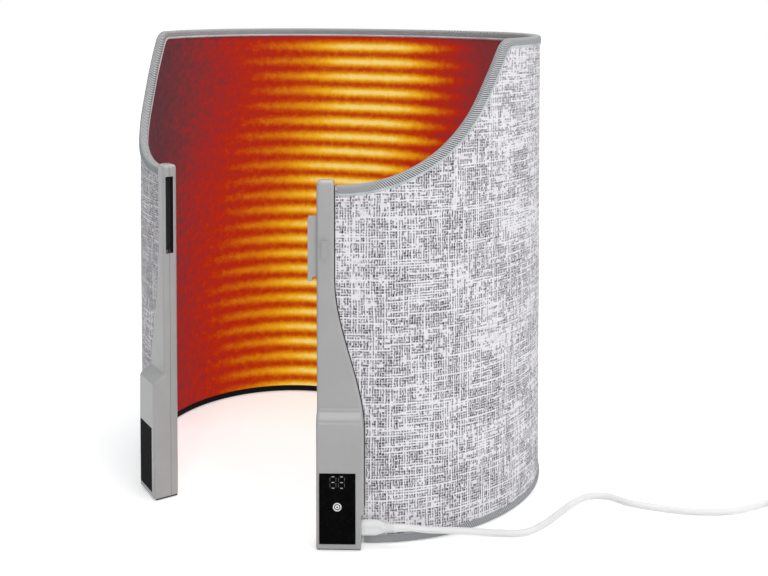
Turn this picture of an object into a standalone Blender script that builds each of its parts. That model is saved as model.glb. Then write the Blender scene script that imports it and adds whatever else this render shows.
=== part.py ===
"""Foldable leg heater: a tall fabric wrap of three folding panels, closed in front by two moulded posts.

The wrap stands on the floor as an oval that is open at the front. Its wall is five thin layers: cover,
stiffener board, felt, heating film and lining, edged at top and bottom by a folded binding. It folds along
two upright lines. The right post holds the controls, the mains inlet and a sliding hook, and the left post
the catch.

Places on the wall are given by s, the distance along its outer surface from the right end face, by z, the
height above the floor, and by n, the distance outward from the cover's outer surface. In a post, u is the
distance from that post's end face along the wall. The frame's origin is on the floor, in the middle of the
box around the heater, with +Z up and the opening towards -Y.
"""

import math
from collections import namedtuple

import bmesh
import bpy
import numpy
from mathutils import Matrix, Vector

# Fits and overruns
GAP = 0.0003                    # between pieces that touch
OVERRUN = 0.0020                # how far a cutter runs past the face it starts from

# Plan of the wrap: a straight end inside each post and three arcs to the middle of the back
END_X = 0.0966                  # outer corner of an end face, from the middle
FRONT_RADIUS = 0.197
SIDE_RADIUS = 0.160
FRONT_ANGLE = math.radians(28.2)  # of the wall's outward direction at a post, from straight ahead
SIDE_ANGLE = math.radians(88)
BACK_ANGLE = math.radians(162)
FOLD_SHARE = 0.30               # of the wall's length, from an end face to the near fold

# Heights of the wrap and its swept front edges
WRAP_HEIGHT = 0.500
POST_WALL_HEIGHT = 0.3574       # where the wall enters a post
SWEEP_START = 0.0200
SWEEP_SHARE = 0.5859            # of the rise from a post to the top edge, taken by the lower curve
SWEEP_ANGLE = math.radians(57.6)
CORNER_SHARE = 0.0870           # the upper curve's radius, of that rise

# Layers of the wall, outside in
COVER_THICKNESS = 0.0016
BOARD_THICKNESS = 0.0016
FELT_THICKNESS = 0.0014
FILM_THICKNESS = 0.0005
LINING_THICKNESS = 0.0012

# Folded binding over the wall's edges
BINDING_THICKNESS = 0.0008
BINDING_LIP = 0.0080
BINDING_CLEARANCE = 0.0004

# Folds: their axes lie on the cover's outer surface
FOLD_CLOSE = math.radians(70)
FOLD_OPEN = math.radians(45)
FOLD_EASE = math.radians(2)     # spare angle in the grooves that let the wall fold

# Both posts: a narrow bar above a deep box, joined by a flare
BAR_WIDTH = 0.0175
BOX_WIDTH = 0.0470
BAR_PROUD = 0.0030              # front face outside the cover
BOX_PROUD = 0.0150
POST_BACK = 0.0042              # back face inside the lining
POST_CAP = 0.0055               # top above the wall's edge
POST_CROWN = 0.0040
POST_CORNER = 0.0030
BACK_CORNER = 0.0020
POST_BASE = 0.0020              # the shells' lower rim above the floor
FLARE_TOP = 0.2645
FLARE_BOTTOM = 0.112
STEP_TOP = 0.1375
STEP_BOTTOM = 0.1248
SHELL = 0.0022
RAIL_WIDTH = 0.0101             # solid rail between the end face and the wall
CAVITY_INSET = 0.0010           # from the rail to the box's hollow
CAVITY_TOP = 0.116
SIDE_STEP = 0.0025              # relief in the box's side for the plug
SIDE_STEP_HEIGHT = 0.0355

# Feet under the posts
FOOT_EDGE = 0.0008
FOOT_PLUG = 0.0040

# Post screws, driven from the back into the rail
SCREW_HOLE_RADIUS = 0.0013
SCREW_RADIUS = 0.0010
SCREW_HEAD_RADIUS = 0.0021
SCREW_HEAD_HEIGHT = 0.0014
SCREW_SOCKET_RADIUS = 0.0009
SCREW_SOCKET_DEPTH = 0.0007
SCREW_SKIN = 0.0022             # left between a screw hole and the bar's front face
LOW_SCREW_HEIGHT = 0.012
MIDDLE_SCREW_HEIGHT = 0.200
TOP_SCREW_DROP = 0.0075         # below the post's top

# Sliding hook on the right post and its catch in the left one
HOOK_REACH = 0.0090
HOOK_THICKNESS = 0.0065
HOOK_DROP = 0.0304              # its top below the wall's edge
HOOK_HEIGHT = 0.0600
NIB_WIDTH = 0.0047
NIB_DROP = 0.0046
HOOK_TRAVEL = 0.0065
HOOK_CORNER = 0.0012
LATCH_WALL = 0.0018             # end wall that retains the hook's slider
FLANGE_LAP = 0.0009             # slider past the hook, front and back
FLANGE_RISE = 0.0060            # slider past the hook, above and below
CATCH_SLOT_WIDTH = 0.0085
CATCH_SLOT_SPARE = 0.0164       # slot above the lifted hook
CATCH_THICKNESS = 0.0010
CATCH_HEIGHT = 0.0060

# Thumb pad that lifts the hook
PAD_WIDTH = 0.0070
PAD_HEIGHT = 0.0180
PAD_PROUD = 0.0010
PAD_BORDER = 0.0012
PAD_RAISE = 0.0004
PAD_CORNER = 0.0008
PAD_DROP = 0.0627               # its middle below the wall's edge
PAD_SIDE = 0.0078               # its middle from the end face
STEM_WIDTH = 0.0026
STEM_HEIGHT = 0.0040
STEM_DROP = 0.0060              # its middle below the pad's middle

# Control panel, power button and what is behind them
PANEL_WIDTH = 0.0355
PANEL_HEIGHT = 0.0701
PANEL_THICKNESS = 0.0012
PANEL_DEPTH = 0.0014
PANEL_CORNER = 0.0012
PANEL_SIDE = 0.0033             # from the end face
PANEL_BOTTOM = 0.0067
BLANK_SIDE = 0.0030             # blank panel, from the box's fabric side
BUTTON_RADIUS = 0.0045
BUTTON_PROUD = 0.0003
BUTTON_TRAVEL = 0.0006
BUTTON_HEIGHT = 0.0438
BUTTON_FLANGE_LAP = 0.0015
BUTTON_FLANGE = 0.0010
BUTTON_STEM_RADIUS = 0.0020
BUTTON_STEM = 0.0024
DISPLAY_WIDTH = 0.0150
DISPLAY_HEIGHT = 0.0125
DISPLAY_MIDDLE = 0.0682
BOARD_CLEARANCE = 0.0029        # from the board to the inlet
BOARD_BOTTOM = 0.0070
BOARD_TOP = 0.1040
BOARD_PROUD = 0.0030            # back face outside the cover
PCB_THICKNESS = 0.0016
BOSS_RADIUS = 0.0020
BOSS_INSET = 0.0030
BOSS_BITE = 0.0006              # of a boss into the front skin
SWITCH_SIDE = 0.0062
SWITCH_HEIGHT = 0.0038
SWITCH_KEY_RADIUS = 0.0016
RELAY_WIDTH = 0.0130
RELAY_HEIGHT = 0.0110
RELAY_DEPTH = 0.0074
RELAY_MIDDLE = 0.0890
CUTOUT_RADIUS = 0.0030
CUTOUT_LENGTH = 0.0100
CUTOUT_MIDDLE = 0.0540

# Ribbon from the heating film to the control board
LEAD_WIDTH = 0.0080
LEAD_THICKNESS = 0.0005
LEAD_MIDDLE = 0.0240
LEAD_ROOM = 0.0010

# Mains inlet in the box's side
INLET_HEIGHT = 0.0200           # of its middle above the floor
INLET_PROUD = 0.0072            # of its middle outside the cover
INLET_TALL = 0.0186
INLET_THICK = 0.0104
INLET_LENGTH = 0.0105
WELL_DEPTH = 0.0062
PIN_RADIUS = 0.0012
PIN_BORE_RADIUS = 0.0015
PIN_LENGTH = 0.0050

# Plug on the cord's near end, with its strain relief
LOBE_RADIUS = 0.0040
LOBE_OFFSET = 0.0037
WAIST = 0.0028
PLUG_LENGTH = 0.0210            # outside the box
PLUG_TAPER = 0.0060
RELIEF_LENGTH = 0.0200
RELIEF_RADIUS = 0.0050
RELIEF_GROOVE = 0.0010
RELIEF_GROOVES = 4

# Cord: its free stretch, its coil and the plug on its far end
CORD_DIAMETER = 0.0065
CORD_STEP_SHARE = 2.4           # of the diameter, between the points of the free stretch
FLOOR_CLEARANCE = 0.0002
ROUTE = (
    (0.1959, -0.1282, 0.0160),
    (0.2171, -0.1049, 0.0102),
    (0.2343, -0.0860, 0.0049),
    (0.2478, -0.0772, 0.00345),
    (0.2655, -0.0681, 0.00345),
    (0.2755, -0.0556, 0.00345),
    (0.2831, -0.0316, 0.00345),
    (0.2877, -0.0033, 0.00345),
    (0.2940, 0.0279, 0.00345),
    (0.3033, 0.0462, 0.00345),
    (0.3184, 0.0537, 0.00345),
    (0.3319, 0.0530, 0.00345),
    (0.3453, 0.0512, 0.00345),
    (0.3756, 0.0556, 0.00345),
    (0.4145, 0.0676, 0.00345),
    (0.4501, 0.0928, 0.00345),
)
COIL_X = 0.5300
COIL_Y = 0.1250
COIL_RADIUS = 0.0470
COIL_PITCH = 0.0070             # between neighbouring turns and between layers
COIL_TURNS = 5.34               # in both layers together
COIL_START = math.radians(141)
COIL_POINTS = 24                # a turn
COIL_CLIMB = 0.5                # of a turn, where the spiral reverses
TAIL_LENGTH = 0.0620
MAINS_LENGTH = 0.0340
MAINS_WIDTH = 0.0355
MAINS_NECK = 0.0120
MAINS_SHOULDER = (0.0113, 0.0227)   # where it begins and ends to widen
MAINS_THICK = 0.0136
MAINS_BEVEL = 0.0025
MAINS_PIN_RADIUS = 0.0020
MAINS_PIN_LENGTH = 0.0190
MAINS_PIN_SPACING = 0.0186

# Facets
SWEEP_STEPS = 9
CORNER_STEPS = 3
STATION_PITCH_SHARE = 0.028     # of the wrap's height, between the wall's upright edges
ROUND_SIDES = 24
SMALL_SIDES = 12
FLARE_STEPS = 14
CROWN_STEPS = 4
ARC_STEPS = 4
ROUND_PROFILE = 0.5             # of a bevel that is a circular arc

Frame = namedtuple("Frame", "side matrix")
ALONG_U = Matrix(((0, 0, 1, 0), (1, 0, 0, 0), (0, 1, 0, 0), (0, 0, 0, 1)))
ALONG_N = Matrix.Rotation(math.radians(90), 4, "X")


# Scene, collections and materials

def clear_scene():
    for thing in list(bpy.data.objects):
        bpy.data.objects.remove(thing, do_unlink=True)


def collection(name):
    made = bpy.data.collections.new(name)
    bpy.context.scene.collection.children.link(made)
    return made


def material(name, color, roughness, metallic=0.0):
    made = bpy.data.materials.new(name)
    made.use_nodes = True
    surface = made.node_tree.nodes["Principled BSDF"]
    surface.inputs["Base Color"].default_value = (*color, 1.0)
    surface.inputs["Roughness"].default_value = roughness
    surface.inputs["Metallic"].default_value = metallic
    return made


clear_scene()
PARTS = collection("leg_heater")
CUTTERS = collection("cutters")

POST_GREY = (0.60, 0.60, 0.59)
FINISHES = {
    "cover": ((0.62, 0.61, 0.64), 0.95, 0.0),
    "board": ((0.55, 0.48, 0.36), 0.90, 0.0),
    "felt": ((0.70, 0.69, 0.66), 0.97, 0.0),
    "film": ((0.04, 0.04, 0.045), 0.50, 0.0),
    "lining": ((0.16, 0.02, 0.02), 0.90, 0.0),
    "binding": ((0.30, 0.31, 0.32), 0.90, 0.0),
    "post": (POST_GREY, 0.42, 0.0),
    "latch": ((0.63, 0.63, 0.62), 0.40, 0.0),
    "rubber": ((0.24, 0.24, 0.24), 0.85, 0.0),
    "panel": ((0.012, 0.012, 0.014), 0.18, 0.0),
    "pcb": ((0.03, 0.16, 0.07), 0.55, 0.0),
    "component": ((0.05, 0.05, 0.055), 0.45, 0.0),
    "steel": ((0.55, 0.55, 0.56), 0.35, 1.0),
    "copper": ((0.70, 0.36, 0.20), 0.35, 1.0),
    "white": ((0.86, 0.86, 0.85), 0.45, 0.0),
}


# Plan of the wall

def plan_runs():
    """The straight end and the three arcs of half the plan: start point, start angle, length and radius."""
    x, y, angle = END_X, 0.0, FRONT_ANGLE
    runs = [(x, y, angle, BOX_WIDTH, None)]
    x += BOX_WIDTH * math.cos(angle)
    y += BOX_WIDTH * math.sin(angle)
    for radius, end in ((FRONT_RADIUS, SIDE_ANGLE), (SIDE_RADIUS, BACK_ANGLE), (None, math.pi)):
        radius = radius or x / math.sin(angle)  # the back arc ends on the middle line
        runs.append((x, y, angle, radius * (end - angle), radius))
        x += radius * (math.sin(end) - math.sin(angle))
        y += radius * (math.cos(angle) - math.cos(end))
        angle = end
    return runs, y


RUNS, BACK_Y = plan_runs()
HALF_LENGTH = sum(run[3] for run in RUNS)
WALL_LENGTH = 2 * HALF_LENGTH
FOLD = FOLD_SHARE * WALL_LENGTH

LAYERS = (
    ("outer_cover", COVER_THICKNESS, "cover"),
    ("stiffener_board", BOARD_THICKNESS, "board"),
    ("insulation_felt", FELT_THICKNESS, "felt"),
    ("heating_film", FILM_THICKNESS, "film"),
    ("inner_lining", LINING_THICKNESS, "lining"),
)
WALL_THICKNESS = sum(layer[1] for layer in LAYERS) + (len(LAYERS) - 1) * GAP
BINDING_OUT = BINDING_CLEARANCE + BINDING_THICKNESS
EDGE_INSET = BINDING_THICKNESS + GAP        # from the binding's face to the layers' edges
WALL_START = RAIL_WIDTH + GAP
SPLIT = -WALL_THICKNESS / 2                 # where a post's two shells meet

FRONT_REACH = (
    (BOX_PROUD - POST_CORNER) * math.cos(FRONT_ANGLE)
    + POST_CORNER
    - POST_CORNER * math.sin(FRONT_ANGLE)
)
END_Y = -(BACK_Y + BINDING_OUT - FRONT_REACH) / 2


def true_point(s, n):
    """The point at distance s along the oval and n outward, seen from above."""
    side = 1 if s <= HALF_LENGTH else -1
    rest = s if side > 0 else WALL_LENGTH - s
    for x, y, angle, length, radius in RUNS:
        if rest <= length:
            break
        rest -= length
    else:
        rest = length
    if radius is None:
        x += rest * math.cos(angle)
        y += rest * math.sin(angle)
    else:
        turned = angle + rest / radius
        x += radius * (math.sin(turned) - math.sin(angle))
        y += radius * (math.cos(angle) - math.cos(turned))
        angle = turned
    x += n * math.sin(angle)
    y -= n * math.cos(angle)
    return Vector((side * x, y + END_Y, 0.0))


def plan_angle(s):
    """Angle of the wall's outward direction at s on the right half, from straight ahead."""
    outward = true_point(s, 1.0) - true_point(s, 0.0)
    return math.atan2(outward.x, -outward.y)


# Swept top edge of a wing

SWEEP_RISE = WRAP_HEIGHT - POST_WALL_HEIGHT
SWEEP_RADIUS = SWEEP_SHARE * SWEEP_RISE / (1 - math.cos(SWEEP_ANGLE))
CORNER_RADIUS = CORNER_SHARE * SWEEP_RISE


def corner_s():
    """Distance along the wall at which the swept edge has become level."""
    straight = SWEEP_RISE - (SWEEP_RADIUS + CORNER_RADIUS) * (1 - math.cos(SWEEP_ANGLE))
    run = SWEEP_RADIUS * math.sin(SWEEP_ANGLE) + straight / math.tan(SWEEP_ANGLE)
    return SWEEP_START + run + CORNER_RADIUS * math.sin(SWEEP_ANGLE)


def swept_edge(inset):
    """Points (s, z) of the swept edge, moved inset into the wall."""
    points = []
    centre = POST_WALL_HEIGHT + SWEEP_RADIUS
    for step in range(SWEEP_STEPS + 1):
        angle = SWEEP_ANGLE * step / SWEEP_STEPS
        reach = SWEEP_RADIUS + inset
        points.append((SWEEP_START + reach * math.sin(angle), centre - reach * math.cos(angle)))
    end = corner_s()
    reach = CORNER_RADIUS - inset
    for step in range(CORNER_STEPS + 1):
        angle = SWEEP_ANGLE * (1 - step / CORNER_STEPS)
        height = WRAP_HEIGHT - CORNER_RADIUS + reach * math.cos(angle)
        points.append((end - reach * math.sin(angle), height))
    middle = [(a + b) / 2 for a, b in zip(points[SWEEP_STEPS], points[SWEEP_STEPS + 1])]
    points.insert(SWEEP_STEPS + 1, tuple(middle))
    return points


def edge_height(s, inset):
    """Height of the wall's top at s, moved inset into the wall."""
    points = swept_edge(inset)
    near = min(s, WALL_LENGTH - s)
    return float(numpy.interp(near, [p[0] for p in points], [p[1] for p in points]))


# Upright edges that every layer shares

def even_steps(start, end):
    count = max(2, round((end - start) / (STATION_PITCH_SHARE * WRAP_HEIGHT)))
    return [start + (end - start) * step / count for step in range(count + 1)]


SWEPT = [point[0] for point in swept_edge(0)]
WING = sorted([WALL_START, BOX_WIDTH] + SWEPT + even_steps(SWEPT[-1], FOLD)[1:])
BACK = even_steps(FOLD, WALL_LENGTH - FOLD)
KNOTS = WING + BACK[1:-1] + [WALL_LENGTH - s for s in WING[::-1]]


def wall_point(s, z, n):
    """The point at s, z and n on the wall, whose plan has flat facets between its upright edges."""
    index = min(max(numpy.searchsorted(KNOTS, s) - 1, 0), len(KNOTS) - 2)
    low, high = KNOTS[index], KNOTS[index + 1]
    point = true_point(low, n).lerp(true_point(high, n), (s - low) / (high - low))
    point.z = z
    return point


# Making objects

def add(name, mesh, home=PARTS, finish=None, matrix=None):
    """Puts a mesh in the scene as an object, with its own material if it is a sub-part."""
    thing = bpy.data.objects.new(name, mesh)
    home.objects.link(thing)
    if matrix is not None:
        thing.matrix_world = matrix
    if home is CUTTERS:
        thing.hide_render = True
        thing.display_type = "WIRE"
    else:
        color, roughness, metallic = FINISHES[finish]
        mesh.materials.append(material(name, color, roughness, metallic))
    return thing


def finished(shape, name, smooth=None):
    """Ends a bmesh as a mesh, with its faces turned outward."""
    bmesh.ops.recalc_face_normals(shape, faces=shape.faces[:])
    mesh = bpy.data.meshes.new(name)
    shape.to_mesh(mesh)
    shape.free()
    if smooth:
        mesh.shade_smooth()
        mesh.set_sharp_from_angle(angle=smooth)
    return mesh


SOFT_EDGE = math.radians(35)


def block(name, frame, u, n, z, home=PARTS, finish=None, bevel=0.0):
    """A box between two values of u, of n and of z in a post's frame."""
    shape = bmesh.new()
    bmesh.ops.create_cube(shape, size=1)
    size = Vector((abs(u[1] - u[0]), abs(n[1] - n[0]), abs(z[1] - z[0])))
    middle = Vector((frame.side * (u[0] + u[1]) / 2, -(n[0] + n[1]) / 2, (z[0] + z[1]) / 2))
    bmesh.ops.scale(shape, vec=size, verts=shape.verts[:])
    bmesh.ops.translate(shape, vec=middle, verts=shape.verts[:])
    if bevel:
        bmesh.ops.bevel(
            shape, geom=shape.edges[:], offset=bevel, segments=2, profile=ROUND_PROFILE, affect="EDGES"
        )
    return add(name, finished(shape, name, SOFT_EDGE), home, finish, frame.matrix)


def rod(name, frame, centre, radius, length, turn, home=PARTS, finish=None, sides=SMALL_SIDES):
    """A cylinder about centre (u, n, z), turned from the upright by a matrix."""
    shape = bmesh.new()
    bmesh.ops.create_cone(
        shape, cap_ends=True, segments=sides, radius1=radius, radius2=radius, depth=length, matrix=turn
    )
    u, n, z = centre
    bmesh.ops.translate(shape, vec=Vector((frame.side * u, -n, z)), verts=shape.verts[:])
    return add(name, finished(shape, name, SOFT_EDGE), home, finish, frame.matrix)


def loft(name, rings, home=PARTS, finish=None, matrix=None, smooth=SOFT_EDGE):
    """A solid through rings of points that all have the same count."""
    shape = bmesh.new()
    rows = [[shape.verts.new(point) for point in ring] for ring in rings]
    for low, high in zip(rows, rows[1:]):
        for index in range(len(low)):
            after = (index + 1) % len(low)
            shape.faces.new((low[index], low[after], high[after], high[index]))
    shape.faces.new(rows[0])
    shape.faces.new(rows[-1])
    return add(name, finished(shape, name, smooth), home, finish, matrix)


def sheet(name, rings, thickness, outward, finish, matrix=None):
    """An open surface through rings of points, thickened away from its outer side."""
    shape = bmesh.new()
    rows = [[shape.verts.new(point) for point in ring] for ring in rings]
    for low, high in zip(rows, rows[1:]):
        for index in range(len(low) - 1):
            shape.faces.new((low[index], high[index], high[index + 1], low[index + 1]))
    shape.faces.ensure_lookup_table()
    shape.faces[0].normal_update()
    if shape.faces[0].normal.dot(outward) < 0:
        bmesh.ops.reverse_faces(shape, faces=shape.faces[:])
    mesh = bpy.data.meshes.new(name)
    shape.to_mesh(mesh)
    shape.free()
    mesh.shade_smooth()
    mesh.set_sharp_from_angle(angle=SOFT_EDGE)
    thing = add(name, mesh, PARTS, finish, matrix)
    wall = thing.modifiers.new("thickness", "SOLIDIFY")
    wall.thickness = thickness
    wall.offset = -1
    wall.use_even_offset = True
    return thing


def turned(name, profile, matrix, finish, sides=SMALL_SIDES, home=PARTS):
    """A solid of revolution about its own Z, from points (radius, height) that run down its outer side."""
    mesh = bpy.data.meshes.new(name)
    points = [(radius, 0.0, height) for radius, height in profile]
    mesh.from_pydata(points, [(k, k + 1) for k in range(len(points) - 1)], [])
    thing = add(name, mesh, home, finish, matrix)
    screw = thing.modifiers.new("turn", "SCREW")
    screw.steps = sides
    screw.render_steps = sides
    screw.use_merge_vertices = True
    screw.merge_threshold = GAP / 10
    return thing


def flat(name, outline, half, matrix, home=PARTS, finish=None):
    """A flat piece from a closed outline, half its thickness to either side of it."""
    curve = bpy.data.curves.new(name, "CURVE")
    curve.dimensions = "2D"
    curve.fill_mode = "BOTH"
    curve.extrude = half
    line = curve.splines.new("POLY")
    line.points.add(len(outline) - 1)
    for point, (x, y) in zip(line.points, outline):
        point.co = (x, y, 0.0, 1.0)
    line.use_cyclic_u = True
    return meshed(name, curve, matrix, home, finish)


def meshed(name, curve, matrix, home, finish):
    """Turns a curve into a mesh object with welded caps."""
    guide = bpy.data.objects.new(name + "_curve", curve)
    CUTTERS.objects.link(guide)
    guide.matrix_world = matrix
    bpy.context.view_layer.update()
    mesh = bpy.data.meshes.new_from_object(guide.evaluated_get(bpy.context.evaluated_depsgraph_get()))
    placed = guide.matrix_world.copy()
    bpy.data.objects.remove(guide, do_unlink=True)
    shape = bmesh.new()
    shape.from_mesh(mesh)
    bmesh.ops.remove_doubles(shape, verts=shape.verts[:], dist=GAP / 10)
    bmesh.ops.recalc_face_normals(shape, faces=shape.faces[:])
    shape.to_mesh(mesh)
    shape.free()
    mesh.name = name
    mesh.materials.clear()
    mesh.shade_smooth()
    mesh.set_sharp_from_angle(angle=SOFT_EDGE)
    return add(name, mesh, home, finish, placed)


def combine(thing, other, operation="DIFFERENCE"):
    """Cuts one object by another, or joins them."""
    step = thing.modifiers.new(other.name, "BOOLEAN")
    step.operation = operation
    step.solver = "EXACT"
    step.object = other


def rounded_box(left, right, bottom, top, radius):
    """Outline of a rectangle with round corners."""
    points = []
    corners = ((right, top, 0), (left, top, 1), (left, bottom, 2), (right, bottom, 3))
    for x, y, quarter in corners:
        centre_x = x - radius if x == right else x + radius
        centre_y = y - radius if y == top else y + radius
        for step in range(ARC_STEPS + 1):
            angle = (quarter + step / ARC_STEPS) * math.pi / 2
            points.append((centre_x + radius * math.cos(angle), centre_y + radius * math.sin(angle)))
    return points


def axis_empty(name, place, parent=None):
    """An empty on a joint's axis, that carries what moves with it."""
    empty = bpy.data.objects.new(name, None)
    PARTS.objects.link(empty)
    empty.location = place
    carry(empty, parent)
    return empty


def carry(thing, parent):
    """Parents an object without moving it."""
    if parent is not None:
        bpy.context.view_layer.update()
        thing.parent = parent
        thing.matrix_parent_inverse = parent.matrix_world.inverted()


# Wrap

def fold_groove(name, side):
    """Cutter that parts two panels: a slot on the fold's axis, wider where they swing."""
    place = wall_point(FOLD if side > 0 else WALL_LENGTH - FOLD, WRAP_HEIGHT / 2, 0.0)
    inner = WALL_THICKNESS + BINDING_OUT + OVERRUN
    outer = BINDING_OUT + OVERRUN
    half = GAP / 2
    inner_half = half + inner * math.tan((FOLD_CLOSE + FOLD_EASE) / 2)
    outer_half = half + outer * math.tan((FOLD_OPEN + FOLD_EASE) / 2)
    outline = [
        (-outer_half, -outer), (outer_half, -outer), (half, 0.0),
        (inner_half, inner), (-inner_half, inner), (-half, 0.0),
    ]
    turn = Matrix.Rotation(side * plan_angle(FOLD), 4, "Z")
    return flat(name, outline, WRAP_HEIGHT / 2 + OVERRUN, Matrix.Translation(place) @ turn, CUTTERS)


def layer_panel(name, places, outer, thickness, finish):
    """One layer of one panel, over the upright edges given by their distances along the wall."""
    rings = []
    for s in places:
        top = edge_height(s, EDGE_INSET)
        rings.append([wall_point(s, EDGE_INSET, outer), wall_point(s, top, outer)])
    outward = wall_point(places[0], 0, outer) - wall_point(places[0], 0, -WALL_THICKNESS)
    return sheet(name, rings, thickness, outward, finish)


def wrap_layers():
    spans = {"right": WING, "back": BACK, "left": [WALL_LENGTH - s for s in WING[::-1]]}
    made = {side: [] for side in spans}
    outer = 0.0
    for name, thickness, finish in LAYERS:
        for side, places in spans.items():
            made[side].append(layer_panel(f"{name}_{side}", places, outer, thickness, finish))
        outer -= thickness + GAP
    return made


def binding(name, edge, lip, mirrored=False):
    """Folded binding along matching points (s, z) of its edge and of its lips."""
    out, back = BINDING_OUT, -WALL_THICKNESS - BINDING_OUT
    rings = []
    for edge_point, lip_point in zip(edge, lip):
        ring = []
        for (s, z), n in ((lip_point, out), (edge_point, out), (edge_point, back), (lip_point, back)):
            ring.append(wall_point(WALL_LENGTH - s if mirrored else s, z, n))
        rings.append(ring)
    outward = rings[0][1] - rings[0][2]
    return sheet(name, rings, BINDING_THICKNESS, outward, "binding")


def wrap_bindings():
    level = [s for s in WING if s > SWEPT[-1]]
    top_edge, top_lip = [], []
    for inset, line in ((0.0, top_edge), (BINDING_LIP, top_lip)):
        line.append((BAR_WIDTH + GAP, POST_WALL_HEIGHT - inset))
        line.extend(swept_edge(inset))
        line.extend((s, WRAP_HEIGHT - inset) for s in level)
    low = [BOX_WIDTH + GAP] + [s for s in WING if s > BOX_WIDTH]
    low_edge = [(s, 0.0) for s in low]
    low_lip = [(s, BINDING_LIP) for s in low]
    made = {}
    for side, mirrored in (("right", False), ("left", True)):
        made[side] = [
            binding(f"top_binding_{side}", top_edge, top_lip, mirrored),
            binding(f"bottom_binding_{side}", low_edge, low_lip, mirrored),
        ]
    made["back"] = []
    ends = (("top", WRAP_HEIGHT, WRAP_HEIGHT - BINDING_LIP), ("bottom", 0.0, BINDING_LIP))
    for name, height, tip in ends:
        edge = [(s, height) for s in BACK]
        lip = [(s, tip) for s in BACK]
        made["back"].append(binding(f"{name}_binding_back", edge, lip))
    return made


def wrap():
    """The wall's layers and bindings, parted at both folds."""
    layers, bindings = wrap_layers(), wrap_bindings()
    panels = {side: layers[side] + bindings[side] for side in layers}
    right, left = fold_groove("right_groove", 1), fold_groove("left_groove", -1)
    for side, grooves in (("right", [right]), ("back", [right, left]), ("left", [left])):
        for piece in panels[side]:
            for groove in grooves:
                combine(piece, groove)
    return panels


# Shells of the posts

def ease(low, high, z):
    """0 below low, 1 above high, and a smooth curve between them."""
    share = min(max((z - low) / (high - low), 0.0), 1.0)
    return share * share * (3 - 2 * share)


POST_TOP = POST_WALL_HEIGHT + POST_CAP
BACK_FACE = -WALL_THICKNESS - GAP - POST_BACK
SIDE_FACE = BOX_WIDTH - SIDE_STEP


def post_width(z):
    return BOX_WIDTH + (BAR_WIDTH - BOX_WIDTH) * ease(FLARE_BOTTOM, FLARE_TOP, z)


def post_front(z):
    return BOX_PROUD + (BAR_PROUD - BOX_PROUD) * ease(STEP_BOTTOM, STEP_TOP, z)


def crown(z):
    """How far the rounded top has drawn in at a height."""
    over = max(0.0, z - (POST_TOP - POST_CROWN))
    return POST_CROWN - math.sqrt(max(0.0, POST_CROWN**2 - over**2))


def post_levels(bottom, top):
    """Heights of the rings between two levels: close together where the form changes."""
    levels = {bottom, top}
    for low, high, steps in (
        (FLARE_BOTTOM, FLARE_TOP, FLARE_STEPS),
        (STEP_BOTTOM, STEP_TOP, FLARE_STEPS // 2),
        (POST_TOP - POST_CROWN, POST_TOP, CROWN_STEPS),
    ):
        levels.update(low + (high - low) * step / steps for step in range(steps + 1))
    return sorted(z for z in levels if bottom <= z <= top)


def shell_ring(frame, z, split, face, radius):
    """Section of a shell: square at the split, with round corners at its face."""
    draw = crown(z)
    left, right = draw, post_width(z) - draw
    outward = 1 if face > split else -1
    face -= outward * draw
    corner = min(radius, abs(face - split) - GAP)
    points = [(left, split)]
    for centre, start, turn in ((left + corner, math.pi, -1), (right - corner, math.pi / 2, -1)):
        for step in range(ARC_STEPS + 1):
            angle = start + turn * step / ARC_STEPS * math.pi / 2
            n = face - outward * corner * (1 - math.sin(angle))
            points.append((centre + corner * math.cos(angle), n))
    points.append((right, split))
    return [Vector((frame.side * u, -n, z)) for u, n in points]


def hollow(name, frame, top):
    """The box's hollow: it follows the outer form inside the shell, open below and towards the wall."""
    rings = []
    for z in post_levels(-OVERRUN, top):
        left = RAIL_WIDTH + CAVITY_INSET
        right = post_width(z) - SIDE_STEP - SHELL
        face = post_front(z) - SHELL
        rings.append([
            Vector((frame.side * u, -n, z))
            for u, n in ((left, 0.0), (left, face), (right, face), (right, 0.0))
        ])
    return loft(name, rings, CUTTERS, matrix=frame.matrix)


def wall_slot(name, frame):
    """Room for the wall's end between the two shells."""
    return block(
        name, frame,
        (RAIL_WIDTH, BOX_WIDTH + OVERRUN), (-WALL_THICKNESS - GAP, GAP),
        (-OVERRUN, POST_WALL_HEIGHT - EDGE_INSET + GAP), CUTTERS,
    )


def screw_places():
    return (LOW_SCREW_HEIGHT, MIDDLE_SCREW_HEIGHT, POST_TOP - TOP_SCREW_DROP)


SCREW_TIP = BAR_PROUD - SCREW_SKIN


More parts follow.
